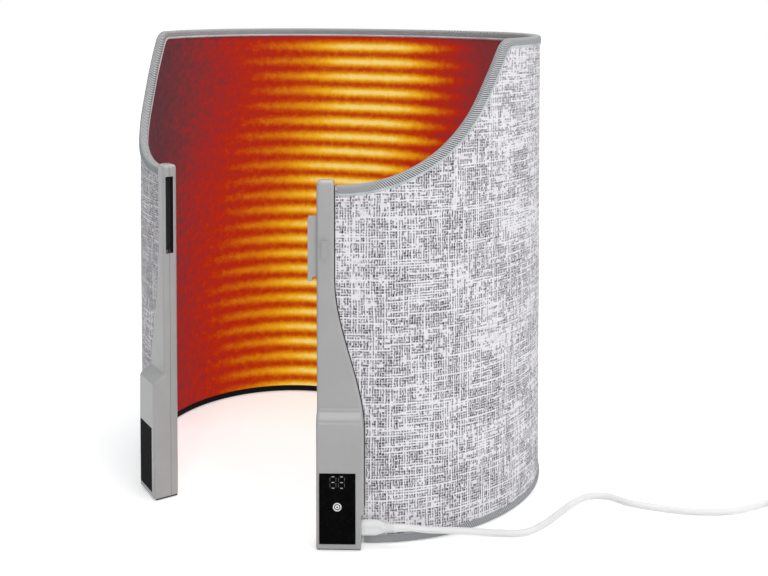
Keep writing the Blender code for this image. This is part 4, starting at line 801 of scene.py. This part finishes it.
def woven_sheet(name, columns, rows, place, material, thickness=0.0):
    """A grid laid out by place(i, j), which gives a point and the cloth's own distances there."""
    bpy.ops.object.select_all(action="DESELECT")
    bpy.ops.mesh.primitive_grid_add(x_subdivisions=columns, y_subdivisions=rows, size=2)
    thing = bpy.context.object
    mesh = thing.data
    measure = []
    for vertex in mesh.vertices:
        i = round((vertex.co.x + 1) / 2 * columns)
        j = round((vertex.co.y + 1) / 2 * rows)
        point, distances = place(i, j)
        vertex.co = point
        measure.append(distances)
    layer = mesh.uv_layers.active
    layer.name = "cloth"
    for loop in mesh.loops:
        layer.data[loop.index].uv = measure[loop.vertex_index]
    mesh.update()
    if thickness:
        wall = thing.modifiers.new("thickness", "SOLIDIFY")
        wall.thickness = thickness
        wall.offset = -1
        wall.use_even_offset = True
        apply_modifiers(thing)
    return finish_piece(thing, name, material, 60)


def refined(node, material, bevel, smooth=40):
    """A welded copy of a CAD node with softened edges, which stands for the node."""
    thing = linked(node + "_finished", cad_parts[node].data.copy())
    select_only(thing)
    bpy.ops.object.mode_set(mode="EDIT")
    bpy.ops.mesh.select_all(action="SELECT")
    bpy.ops.mesh.remove_doubles(threshold=FINE_MERGE)
    bpy.ops.mesh.dissolve_limited(angle_limit=FLAT_ANGLE)
    bpy.ops.object.mode_set(mode="OBJECT")
    if bevel:
        soft = thing.modifiers.new("soft edges", "BEVEL")
        soft.width = bevel
        soft.segments = 2
        soft.limit_method = "ANGLE"
        soft.angle_limit = SHARP_ANGLE
        soft.use_clamp_overlap = True
        apply_modifiers(thing)
    finish_piece(thing, node + "_finished", material, smooth)
    flat = thing.modifiers.new("flat faces", "WEIGHTED_NORMAL")
    flat.keep_sharp = True
    flat.weight = 80
    apply_modifiers(thing)
    return thing


def flat_shape(name, outline, matrix, thickness, material):
    """A thin plate from a closed outline in the matrix's XY plane, raised along its Z."""
    mesh = bpy.data.meshes.new(name)
    shape = bmesh.new()
    face = shape.faces.new([shape.verts.new((x, y, 0.0)) for x, y in outline])
    raised = bmesh.ops.extrude_face_region(shape, geom=[face])
    moved = [part for part in raised["geom"] if isinstance(part, bmesh.types.BMVert)]
    bmesh.ops.translate(shape, vec=(0.0, 0.0, thickness), verts=moved)
    bmesh.ops.recalc_face_normals(shape, faces=shape.faces[:])
    shape.transform(matrix)
    shape.to_mesh(mesh)
    shape.free()
    return finish_piece(linked(name, mesh), name, material)


def trimmed_box(x_span, y_span, trim):
    """Outline of a rectangle with its corners cut off."""
    (left, right), (low, high) = x_span, y_span
    return [
        (left + trim, low), (right - trim, low), (right, low + trim), (right, high - trim),
        (right - trim, high), (left + trim, high), (left, high - trim), (left, low + trim),
    ]


def turned_piece(name, profile, matrix, material, sides=32):
    """A piece turned about the matrix's Z, from points (radius, height)."""
    mesh = bpy.data.meshes.new(name)
    mesh.from_pydata([(r, 0.0, h) for r, h in profile], [(k, k + 1) for k in range(len(profile) - 1)], [])
    thing = linked(name, mesh)
    select_only(thing)
    bpy.ops.object.mode_set(mode="EDIT")
    bpy.ops.mesh.select_all(action="SELECT")
    bpy.ops.mesh.spin(steps=sides, angle=2 * math.pi, center=(0.0, 0.0, 0.0), axis=(0.0, 0.0, 1.0))
    bpy.ops.object.mode_set(mode="OBJECT")
    weld(thing, TURNED_MERGE)
    mesh.transform(matrix)
    return finish_piece(thing, name, material, 40)


def joined(things, name):
    """Joins pieces into one."""
    bpy.ops.object.select_all(action="DESELECT")
    for thing in things:
        thing.select_set(True)
    bpy.context.view_layer.objects.active = things[0]
    bpy.ops.object.join()
    things[0].name = name
    things[0].data.name = name
    return things[0]


def paint(node, material):
    """Gives a CAD node a new material."""
    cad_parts[node].data.materials[0] = material


# Parts of the wrap

HALVES = (
    (1, "right", WALL_START, HALF_LENGTH),
    (-1, "left", HALF_LENGTH, WALL_LENGTH - WALL_START),
)


def bend_at_fold(piece, side, reach):
    """Bakes the piece's placement into its mesh; the fold's points either side are found but not used, so
    nothing bends.
    """
    s = FOLD if side > 0 else WALL_LENGTH - FOLD
    low, high = wall_point(s - reach, WRAP_HEIGHT / 2), wall_point(s + reach, WRAP_HEIGHT / 2)
    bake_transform(piece)


def layer_sheet(name, span, depths, material, loose=0.0):
    """One layer of half the wrap, from the outer depth to the inner one."""
    start, end = span
    columns = round((end - start) / CLOTH_STEP)
    held_run = 0.03

    def place(i, j):
        s = start + (end - start) * i / columns
        top = edge_height(s, EDGE_INSET)
        z = EDGE_INSET + (top - EDGE_INSET) * j / CLOTH_ROWS
        away = ease(BOX_WIDTH, BOX_WIDTH + held_run, min(s, WALL_LENGTH - s))
        spot = Vector((s * RIPPLE_SCALE[0], z * RIPPLE_SCALE[1], RIPPLE_SEED))
        ripple = noise.noise(spot) * loose * away
        return wall_point(s, z, ripple - depths[0]), (s, z)

    return woven_sheet(name, columns, CLOTH_ROWS, place, material, depths[1] - depths[0])


def binding_profile():
    """Section of a binding from its outer lip over the edge to its inner one: (n, depth from the edge)."""
    bend, turn_in, steps = 0.0030, 0.0003, 6
    half = [(turn_in, BINDING_LIP), (0.0, BINDING_LIP * 0.8), (0.0, BINDING_LIP * 0.55)]
    for k in range(steps + 1):
        a = math.pi / 2 * k / steps
        half.append((bend * (1 - math.cos(a)), bend * (1 - math.sin(a))))
    outer = [(BINDING_OUT - n, depth) for n, depth in half]
    inner = [(n - LINING[1] - BINDING_OUT, depth) for n, depth in reversed(half)]
    return outer + inner


def section_lengths(points):
    """Distance of each point from the first, along the line through them all."""
    lengths = [0.0]
    for a, b in zip(points, points[1:]):
        lengths.append(lengths[-1] + math.dist(a, b))
    return lengths


def top_binding(name, span, material):
    stations = edge_stations(*span)
    profile = binding_profile()
    across = section_lengths(profile)
    along = section_lengths([(s, z) for s, z, _, _ in stations])

    def place(i, j):
        s, z, ds, dz = stations[i]
        n, depth = profile[j]
        return wall_point(s + ds * depth, z + dz * depth, n), (along[i] + span[0], across[j])

    return woven_sheet(name, len(stations) - 1, len(profile) - 1, place, material, BINDING_THICKNESS)


def bottom_binding(name, span, material):
    start, end = span
    columns = round((end - start) / CLOTH_STEP)
    profile = binding_profile()[::-1]
    across = section_lengths(profile)

    def place(i, j):
        s = start + (end - start) * i / columns
        n, height = profile[j]
        return wall_point(s, height, n), (s, across[j])

    return woven_sheet(name, columns, len(profile) - 1, place, material, BINDING_THICKNESS)


def piping(name, span, material, outside=True):
    """Round cord sewn along the binding's lip."""
    stations = edge_stations(*span)
    sides, sunk = 10, 0.0009
    middle = BINDING_OUT - sunk if outside else -LINING[1] - BINDING_OUT + sunk
    along = section_lengths([(s, z) for s, z, _, _ in stations])

    def place(i, j):
        s, z, ds, dz = stations[i]
        a = 2 * math.pi * j / sides
        depth = BINDING_LIP + PIPING_RADIUS * 0.6 - PIPING_RADIUS * math.sin(a)
        n = middle + PIPING_RADIUS * math.cos(a)
        return wall_point(s + ds * depth, z + dz * depth, n), (along[i], a * PIPING_RADIUS)

    return weld(woven_sheet(name, len(stations) - 1, sides, place, material), fill_ends=True)


# Camera and cords

class MakeCamera(bpy.types.Operator):
    """Add the camera at the photograph's viewing angle"""
    bl_idname = "heater.camera"
    bl_label = "Camera"

    def execute(self, context):
        data = bpy.data.cameras.new("camera")
        data.lens = 50.0
        data.sensor_width = 36.0
        data.shift_x, data.shift_y = CAMERA_SHIFT
        camera = linked("camera", data)
        camera.location = CAMERA_PLACE
        camera.rotation_euler = (CAMERA_PITCH, 0.0, CAMERA_TURN)
        context.scene.camera = camera
        return {"FINISHED"}


def smooth_path(points, step=CORD_STEP):
    """Points an even step apart on the smooth curve through the given ones, with straight end runs."""
    places = [Vector(point) for point in points]
    fine, parts = [places[1]], 24
    for before, start, end, after in zip(places, places[1:], places[2:], places[3:]):
        for k in range(1, parts + 1):
            t = k / parts
            slope = (end - before) * (t / 2)
            swell = (2 * before - 5 * start + 4 * end - after) * (t * t / 2)
            turn = (3 * start - before - 3 * end + after) * (t**3 / 2)
            fine.append(start + slope + swell + turn)
    lengths = [0.0]
    for a, b in zip(fine, fine[1:]):
        lengths.append(lengths[-1] + (b - a).length)
    count = max(2, round(lengths[-1] / step))
    path, index = [places[0]], 0
    for k in range(count + 1):
        wanted = lengths[-1] * k / count
        while index < len(lengths) - 2 and lengths[index + 1] < wanted:
            index += 1
        share = (wanted - lengths[index]) / max(lengths[index + 1] - lengths[index], TINY)
        path.append(fine[index].lerp(fine[index + 1], min(share, 1.0)))
    return path + [places[-1]]


def coil_place(turn):
    """Point of the coil after a number of turns: in on the floor, a climb, and out on top."""
    half = COIL_TURNS / 2
    radius = COIL_RADIUS - COIL_PITCH * (half - abs(turn - half))
    height = CORD_HEIGHT + COIL_PITCH * ease(half - COIL_CLIMB / 2, half + COIL_CLIMB / 2, turn)
    angle = COIL_START - 2 * math.pi * turn
    x, y = COIL_CENTRE
    return Vector((x + radius * math.cos(angle), y + radius * math.sin(angle), height))


def level(vector):
    """The vector's direction along the floor."""
    return Vector((vector.x, vector.y, 0.0)).normalized()


def cord_path():
    """The cord's middle line from the strain relief to the mains plug."""
    first = post_point(1, RELIEF_START + RELIEF_LENGTH + SEAT_GAP, INLET_PROUD, INLET_HEIGHT)
    along = level(post_point(1, 1.0, INLET_PROUD, 0.0) - post_point(1, 0.0, INLET_PROUD, 0.0))
    small_turn = 1 / COIL_POINTS / 24
    into = level(coil_place(small_turn) - coil_place(0.0))
    entry = coil_place(0.0) - into * CORD_DIAMETER
    path = smooth_path([first, first + along * CORD_DIAMETER, *ROUTE, entry - into * CORD_DIAMETER, entry])
    count = round(COIL_TURNS * COIL_POINTS)
    path += [coil_place(COIL_TURNS * k / count) for k in range(count + 1)]
    out = level(coil_place(COIL_TURNS) - coil_place(COIL_TURNS - small_turn))
    leave = path[-1] + out * CORD_DIAMETER
    reach = leave + out * (TAIL_LENGTH + 2 * SEAT_GAP)
    reach.z = MAINS_THICK / 2 + FLOOR_GAP
    return path + smooth_path([leave, leave + out * CORD_DIAMETER, reach - out * CORD_DIAMETER, reach])


# Turns a shape from its XY plane into one across the wall, with its thickness along it
ALONG_U = Matrix(((0, 0, 1, 0), (1, 0, 0, 0), (0, 1, 0, 0), (0, 0, 0, 1)))


class MakeCord(bpy.types.Operator):
    """Add the mains cord with its strain relief, coil, tie and plugs"""
    bl_idname = "heater.cord"
    bl_label = "Cord"

    def execute(self, context):
        settings = context.scene.heater_cord
        white = moulded("white_plastic", settings.colour, roughness=0.40)
        jacket = moulded("cord_jacket", settings.colour, roughness=0.46)
        path = cord_path()
        curve = bpy.data.curves.new("mains_cord", "CURVE")
        curve.dimensions = "3D"
        curve.bevel_depth = settings.diameter / 2
        curve.bevel_resolution = 3
        curve.use_fill_caps = True
        line = curve.splines.new("POLY")
        line.points.add(len(path) - 1)
        for point, place in zip(line.points, path):
            point.co = (*place, 1.0)
        curve.materials.append(jacket)
        lead = linked("mains_cord", curve)
        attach(lead, "right_wing")
        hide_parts("cord_lead", "cord_coil", "cord_tail")

        relief = self.relief(white)
        connector = refined("cord_connector", white, PLUG_EDGE, smooth=50)
        plug = refined("mains_plug", white, bevel=0.0)
        for piece, node in ((relief, "cord_relief"), (connector, "cord_connector"), (plug, "mains_plug")):
            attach(piece, "right_wing")
            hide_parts(node)
        tie = self.tie(moulded("tie_strap", (0.10, 0.10, 0.11), roughness=0.6))
        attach(tie, "right_wing")
        return {"FINISHED"}

    def relief(self, material):
        """Ribbed sleeve that ends in a slim taper along the cord."""
        ribs, length, core = 4, 0.0120, CORD_DIAMETER / 2
        wide, narrowing, groove, rounding = 0.0050, 0.0007, 0.0009, 0.0002
        bands = 2 * ribs + 1
        pitch = length / bands
        soft = pitch * 0.18
        profile = [(0.0, 0.0)]
        for k in range(bands):
            radius = wide - narrowing * k / (bands - 1)
            if k % 2:
                radius -= groove
            start, end = k * pitch, (k + 1) * pitch
            profile += [(radius - rounding, start), (radius, start + soft)]
            profile += [(radius, end - soft), (radius - rounding, end)]
        taper = ((0.0006, 0.0), (0.0004, 0.006), (0.0001, 0.0115), (-0.0008, 0.0120))
        profile += [(core + over, length + past) for over, past in taper]
        place = Matrix.Translation((RELIEF_START - SEAT_GAP, -INLET_PROUD, INLET_HEIGHT)) @ ALONG_U
        return turned_piece("cord_relief_sleeve", profile, post_matrix(1) @ place, material)

    def tie(self, material):
        """Strap round the bundle of turns."""
        angle, corner, steps, slack = math.radians(-62), 0.0030, 6, 0.0004
        inner = COIL_RADIUS - COIL_PITCH * COIL_TURNS / 2 - CORD_DIAMETER / 2 - slack
        outer = COIL_RADIUS + CORD_DIAMETER / 2 + slack
        low, high = FLOOR_GAP, CORD_HEIGHT + COIL_PITCH + CORD_DIAMETER / 2 + slack
        outline = []
        for r, z, quarter in ((outer, high, 0), (inner, high, 1), (inner, low, 2), (outer, low, 3)):
            centre_r = r - corner if r == outer else r + corner
            centre_z = z - corner if z == high else z + corner
            for k in range(steps + 1):
                a = (quarter + k / steps) * math.pi / 2
                outline.append((centre_r + corner * math.cos(a), centre_z + corner * math.sin(a)))
        rows, width, thickness = 6, 0.0090, 0.0009

        def place(i, j):
            r, z = outline[i % len(outline)]
            offset = width * (j / rows - 0.5)
            x = COIL_CENTRE[0] + r * math.cos(angle) - offset * math.sin(angle)
            y = COIL_CENTRE[1] + r * math.sin(angle) + offset * math.cos(angle)
            return Vector((x, y, z)), (i * 0.002, offset)

        strap = weld(woven_sheet("cord_tie", len(outline), rows, place, material))
        wall = strap.modifiers.new("thickness", "SOLIDIFY")
        wall.thickness = thickness
        wall.offset = 0.2
        apply_modifiers(strap)
        return finish_piece(strap, "cord_tie", material, 45)


# Wrap

class MakeFabric(bpy.types.Operator):
    """Add the outer fabric in two halves"""
    bl_idname = "heater.fabric"
    bl_label = "Outer fabric"

    def execute(self, context):
        weave = slub_weave(context.scene.heater_wrap)
        for side, name, start, end in HALVES:
            cloth = layer_sheet(f"fabric_{name}", (start, end), COVER, weave, FABRIC_RIPPLE)
            bend_at_fold(cloth, side, FABRIC_BEND)
            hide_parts(f"outer_cover_{name}", "outer_cover_back")
        return {"FINISHED"}


class MakeLining(bpy.types.Operator):
    """Add the felt, the heating film and the glowing lining, each in two halves"""
    bl_idname = "heater.lining"
    bl_label = "Lining"

    def execute(self, context):
        glow = glowing_lining(context.scene.heater_lining)
        felt = plain_cloth("needled_felt", (0.66, 0.65, 0.62), scale=700.0)
        film = moulded("heating_film_black", (0.02, 0.02, 0.022), roughness=0.35)
        layers = (
            ("felt", FELT, felt, "insulation_felt"),
            ("film", FILM, film, "heating_film"),
            ("lining", LINING, glow, "inner_lining"),
        )
        for piece, depths, material, node in layers:
            for side, name, start, end in HALVES:
                cloth = layer_sheet(f"{piece}_{name}", (start, end), depths, material)
                bend_at_fold(cloth, side, LAYER_BEND)
                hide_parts(f"{node}_{name}", f"{node}_back")
        return {"FINISHED"}


class MakeBindings(bpy.types.Operator):
    """Add the folded bindings and the piping beside them"""
    bl_idname = "heater.bindings"
    bl_label = "Bindings"

    def execute(self, context):
        settings = context.scene.heater_wrap
        cloth = twill("binding_twill", settings.binding_colour)
        # the foot binding's inner side, at the floor inside the wrap, is painted shade in black
        foot_cloth = twill("foot_binding_twill", settings.binding_colour, inside=PAINTED_SHADE_BLACK)
        cord = plain_cloth("piping_cloth", settings.piping_colour, scale=1400.0, depth=0.0002)
        bar = BAR_WIDTH + SEAT_GAP
        box = BOX_WIDTH + SEAT_GAP
        for side, name, _, _ in HALVES:
            top_span = (bar, HALF_LENGTH) if side > 0 else (HALF_LENGTH, WALL_LENGTH - bar)
            low_span = (box, HALF_LENGTH) if side > 0 else (HALF_LENGTH, WALL_LENGTH - box)
            top = top_binding(f"binding_top_{name}", top_span, cloth)
            low = bottom_binding(f"binding_bottom_{name}", low_span, foot_cloth)
            outer = piping(f"piping_outer_{name}", top_span, cord)
            inner = piping(f"piping_inner_{name}", top_span, cord, outside=False)
            for piece in (top, low, outer, inner):
                bend_at_fold(piece, side, LAYER_BEND)
            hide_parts(f"top_binding_{name}", "top_binding_back")
            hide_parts(f"bottom_binding_{name}", "bottom_binding_back")
        return {"FINISHED"}


# Posts

class MakePosts(bpy.types.Operator):
    """Finish the posts' shells and feet, with painted shade: dark strips beside the fabric and in the
    catch's slot
    """
    bl_idname = "heater.posts"
    bl_label = "Posts"

    def execute(self, context):
        settings = context.scene.heater_mouldings
        grey = moulded("post_plastic", settings.post_colour, POST_ROUGHNESS, POST_GRAIN)
        rubber = moulded("foot_rubber", (0.05, 0.05, 0.052), roughness=0.75)
        # painted shade: the dark finish of the strips beside the fabric and of the catch's slot
        dark = moulded("painted_shade_gap", PAINTED_SHADE_BLACK, roughness=0.7)
        for name, body, side in (("control", "right_wing", 1), ("catch", "left_wing", -1)):
            for part in ("front", "back"):
                shell = refined(f"{name}_post_{part}", grey, SHELL_EDGE)
                if name == "catch":
                    self.darken_slot(shell, dark)
                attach(shell, body)
                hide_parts(f"{name}_post_{part}")
            paint(f"{name}_post_foot", rubber)
            seam = self.seam(f"{name}_painted_shade_gap", side, dark)
            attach(seam, body)
        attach(self.slot_shade_card(dark), "left_wing")
        return {"FINISHED"}

    def darken_slot(self, shell, material):
        """Paints the walls of the catch's slot dark, as painted shade."""
        shell.data.materials.append(material)
        to_post = post_matrix(-1).inverted()
        for face in shell.data.polygons:
            middle = to_post @ face.center
            u, depth, z = -middle.x, middle.y, middle.z
            inside = SLOT_WIDTH[0] < u < SLOT_WIDTH[1] and SLOT_DEPTH[0] < depth < SLOT_DEPTH[1]
            if inside and SLOT_HEIGHTS[0] < z < SLOT_HEIGHTS[1]:
                face.material_index = 1

    def slot_shade_card(self, material):
        """Dark card that closes the catch's slot towards the wrap: a painted shadow in the slot."""
        margin, back, trim, thickness = 0.0007, 0.0081, 0.0005, 0.0002
        heights = (SLOT_HEIGHTS[0] + margin, SLOT_HEIGHTS[1] - margin)
        outline = trimmed_box((margin, back), heights, trim)
        place = post_matrix(-1) @ Matrix.Translation((-CARD_PLACE, 0.0, 0.0)) @ ALONG_U
        return flat_shape("slot_shade_card", outline, place, thickness, material)

    def seam(self, name, side, material):
        """Dark strip along the shell's fabric edge, a painted shadow of the gap there, from the box's step
        to the bar's top.
        """
        steps, sides, radius, proud = 70, 8, 0.0005, 0.0003

        def place(i, j):
            z = SHADE_STRIP_START + (POST_WALL_HEIGHT - SHADE_STRIP_START) * i / steps
            a = 2 * math.pi * j / sides
            u = post_width(z) + radius * 0.9 + radius * math.cos(a)
            return post_point(side, u, proud + radius * math.sin(a), z), (z, a * radius)

        return weld(woven_sheet(name, steps, sides, place, material), fill_ends=True)


class MakeLatch(bpy.types.Operator):
    """Finish the hook, its thumb pad with its marks, and the catch"""
    bl_idname = "heater.latch"
    bl_label = "Latch"

    def execute(self, context):
        settings = context.scene.heater_mouldings
        grey = moulded("latch_plastic", settings.post_colour, POST_ROUGHNESS, POST_GRAIN)
        hook = refined("latch_slider", grey, HOOK_EDGE)
        pad = refined("latch_thumb_pad", grey, PAD_EDGE)
        for piece, node in ((hook, "latch_slider"), (pad, "latch_thumb_pad")):
            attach(piece, "latch")
            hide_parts(node)
        paint("catch_plate", metal("blackened_steel", (0.10, 0.10, 0.105), roughness=0.4))
        both = joined([self.mark(grey, 1), self.mark(grey, -1)], "latch_marks")
        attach(both, "right_wing")
        return {"FINISHED"}

    def mark(self, material, way):
        """Small raised arrow above or below the pad."""
        apart, half_width, base, tip = 0.0128, 0.0015, 0.0009, 0.0012
        sunk, thickness = 0.0001, 0.0006
        outline = [(-half_width, -base * way), (half_width, -base * way), (0.0, tip * way)]
        if way < 0:
            outline.reverse()
        matrix = post_face(PAD_PLACE[0], BAR_PROUD - sunk, PAD_PLACE[1] + apart * way)
        return flat_shape("mark", outline, matrix, thickness, material)


class MakeControls(bpy.types.Operator):
    """Finish both panels, the display's digits, the power key and what is behind them"""
    bl_idname = "heater.controls"
    bl_label = "Controls"

    def execute(self, context):
        settings = context.scene.heater_mouldings
        gloss = glossy_panel(settings.panel_colour)
        for node, body in (("control_panel", "right_wing"), ("blank_panel", "left_wing")):
            panel = refined(node, gloss, PANEL_EDGE)
            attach(panel, body)
            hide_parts(node)
        key = refined("power_button", gloss, KEY_EDGE, smooth=30)
        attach(key, "button")
        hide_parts("power_button")
        # white print on the power key, with a faint painted glow
        ring = self.ring(light_mark("white_print_painted_glow", (0.80, 0.80, 0.79), strength=0.10))
        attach(ring, "button")
        bright = light_mark("segment_light", (0.55, 0.55, 0.54), strength=0.15)
        dim = light_mark("dot_light", (0.24, 0.25, 0.23), strength=0.08)
        digits = self.digits(settings.digit_height, bright, dim)
        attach(digits, "right_wing")
        paint("control_board", circuit_board())
        component = moulded("component_black", (0.03, 0.03, 0.032), roughness=0.4)
        for node in ("display_module", "tact_switch", "power_relay", "power_inlet"):
            paint(node, component)
        steel = metal("zinc_steel", (0.56, 0.56, 0.57))
        paint("thermal_cutout", steel)
        for post in ("control", "catch"):
            for index in (1, 2, 3):
                paint(f"{post}_post_screw_{index}", steel)
        paint("film_lead", metal("copper_ribbon", (0.70, 0.36, 0.20)))
        board = plain_cloth("pressed_board", (0.42, 0.35, 0.25), scale=500.0, depth=0.0001)
        for name in ("right", "back", "left"):
            paint(f"stiffener_board_{name}", board)
        return {"FINISHED"}

    def ring(self, material):
        """White ring with a disc and a bar in it, on the power key."""
        matrix = post_face(KEY_PLACE[0], BOX_PROUD + SEAT_GAP, KEY_PLACE[1])
        high, half_stroke, stroke_top = 0.00012, 0.0002, 0.0013
        rounds = []
        for name, inner, outer, sides in (("hoop", 0.0031, 0.0042, 48), ("disc", 0.0009, 0.0022, 32)):
            profile = [(inner, 0.0), (inner, high), (outer, high), (outer, 0.0)]
            rounds.append(turned_piece(name, profile, matrix, material, sides))
        outline = [
            (-half_stroke, 0.0), (half_stroke, 0.0), (half_stroke, stroke_top), (-half_stroke, stroke_top)]
        stroke = flat_shape("stroke", outline, matrix, high * 1.4, material)
        return joined([*rounds, stroke], "power_symbol")

    def digits(self, height, bright, dim):
        """Two digits of seven segments each: short bars across, and dimmer dots up the sides."""
        width, thick, apart = height * 0.52, 0.0006, 0.0042
        middle_u, middle_z = DISPLAY_PLACE
        pieces = []
        for offset in (-apart, apart):
            for z in (-height / 2, 0.0, height / 2):
                pieces.append(self.bar(middle_u + offset, middle_z + z, width * 0.50, thick, bright))
            for u in (-width / 2, width / 2):
                for share in (-0.37, -0.25, -0.13, 0.13, 0.25, 0.37):
                    z = middle_z + height * share
                    pieces.append(self.bar(middle_u + offset + u, z, thick * 0.7, height * 0.07, dim))
        return joined(pieces, "display_digits")

    def bar(self, u, z, width, height, material):
        x, y = width / 2, height / 2
        trim, thickness = min(width, height) * 0.35, 0.00006
        outline = trimmed_box((-x, x), (-y, y), trim)
        return flat_shape("bar", outline, post_face(u, PANEL_FACE, z), thickness, material)


# Stage

def seen_rays(tree):
    """1 for rays from the camera, mirrored ones and those through glass, and 0 for light."""
    path = tree.nodes.new("ShaderNodeLightPath")
    total = path.outputs["Is Camera Ray"]
    for name in ("Is Glossy Ray", "Is Transmission Ray"):
        most = tree.nodes.new("ShaderNodeMath")
        most.operation = "MAXIMUM"
        tree.links.new(total, most.inputs[0])
        tree.links.new(path.outputs[name], most.inputs[1])
        total = most.outputs[0]
    return total


class MakeStage(bpy.types.Operator):
    """Add the pale floor, the even surroundings and the studio lamps"""
    bl_idname = "heater.stage"
    bl_label = "Stage"

    def execute(self, context):
        settings = context.scene.heater_stage
        bpy.ops.object.select_all(action="DESELECT")
        bpy.ops.mesh.primitive_plane_add(size=FLOOR_SIZE, location=(0.0, 0.0, FLOOR_HEIGHT))
        floor = finish_piece(bpy.context.object, "floor", self.floor_white(settings))
        self.surroundings(context, settings.sky_strength)
        for name, place, size, share in LAMPS:
            self.lamp(name, place, size, settings.lamp_power * share)
        context.scene.view_settings.view_transform = "Standard"
        return {"FINISHED"}

    def floor_white(self, settings):
        """Pale floor that turns to plain white further out, where it is seen."""
        nodes = Nodes("floor_white")
        place = nodes.place()
        base = settings.floor_colour
        colour = nodes.mix(nodes.noise(place, scale=3.0), base, toned(base, 1.01))
        far = nodes.add("VectorMath", {0: place}, out="Value", operation="LENGTH")
        lift = nodes.scaled(nodes.smooth(far, 0.9, 3.0), 0.4, settings.floor_lift)
        return nodes.surface(
            Base_Color=colour, Roughness=0.9, Specular_IOR_Level=0.1, Emission_Color=(1.0, 1.0, 1.0),
            Emission_Strength=nodes.times(seen_rays(nodes.tree), lift))

    def surroundings(self, context, strength):
        """Even light, and a white backdrop where the camera sees it directly, mirrored or through glass."""
        world = bpy.data.worlds.new("surroundings")
        world.use_nodes = True
        tree = world.node_tree
        light = tree.nodes["Background"]
        light.inputs["Color"].default_value = (0.96, 0.98, 1.0, 1.0)
        light.inputs["Strength"].default_value = strength
        white = tree.nodes.new("ShaderNodeBackground")
        white.inputs["Color"].default_value = (1.0, 1.0, 1.0, 1.0)
        white.inputs["Strength"].default_value = 1.0
        either = tree.nodes.new("ShaderNodeMixShader")
        tree.links.new(seen_rays(tree), either.inputs[0])
        tree.links.new(light.outputs[0], either.inputs[1])
        tree.links.new(white.outputs[0], either.inputs[2])
        tree.links.new(either.outputs[0], tree.nodes["World Output"].inputs[0])
        context.scene.world = world

    def lamp(self, name, place, size, power):
        data = bpy.data.lights.new(name, "AREA")
        data.shape = "RECTANGLE"
        data.size, data.size_y = size
        data.energy = power
        lamp = linked(name, data)
        lamp.location = place
        aim = Vector(LAMPS_AIM) - Vector(place)
        lamp.rotation_euler = aim.to_track_quat("-Z", "Y").to_euler()


class HeaterPanel(bpy.types.Panel):
    """Lists the heater's settings and the steps that make it"""
    bl_idname = "VIEW3D_PT_leg_heater"
    bl_label = "Leg heater"
    bl_space_type = "VIEW_3D"
    bl_region_type = "UI"
    bl_category = "Leg heater"

    def draw(self, context):
        for name, group in GROUPS:
            box = self.layout.box()
            box.label(text=group.__doc__.strip("."))
            for setting in group.__annotations__:
                box.prop(getattr(context.scene, name), setting)
        for step in STEPS:
            self.layout.operator(step.bl_idname)


STEPS = (
    MakeCamera, MakeCord, MakeFabric, MakeLining, MakeBindings, MakePosts, MakeLatch, MakeControls,
    MakeStage,
)


def register():
    for name, group in GROUPS:
        bpy.utils.register_class(group)
        setattr(bpy.types.Scene, name, bpy.props.PointerProperty(type=group))
    for made in STEPS + (HeaterPanel,):
        bpy.utils.register_class(made)


def unregister():
    for made in (HeaterPanel,) + STEPS[::-1]:
        bpy.utils.unregister_class(made)
    for name, group in GROUPS[::-1]:
        delattr(bpy.types.Scene, name)
        bpy.utils.unregister_class(group)


def main():
    register()
    bpy.ops.heater.camera()
    bpy.ops.heater.cord()
    bpy.ops.heater.fabric()
    bpy.ops.heater.lining()
    bpy.ops.heater.bindings()
    bpy.ops.heater.posts()
    bpy.ops.heater.latch()
    bpy.ops.heater.controls()
    bpy.ops.heater.stage()


if __name__ == "__main__":
    main()
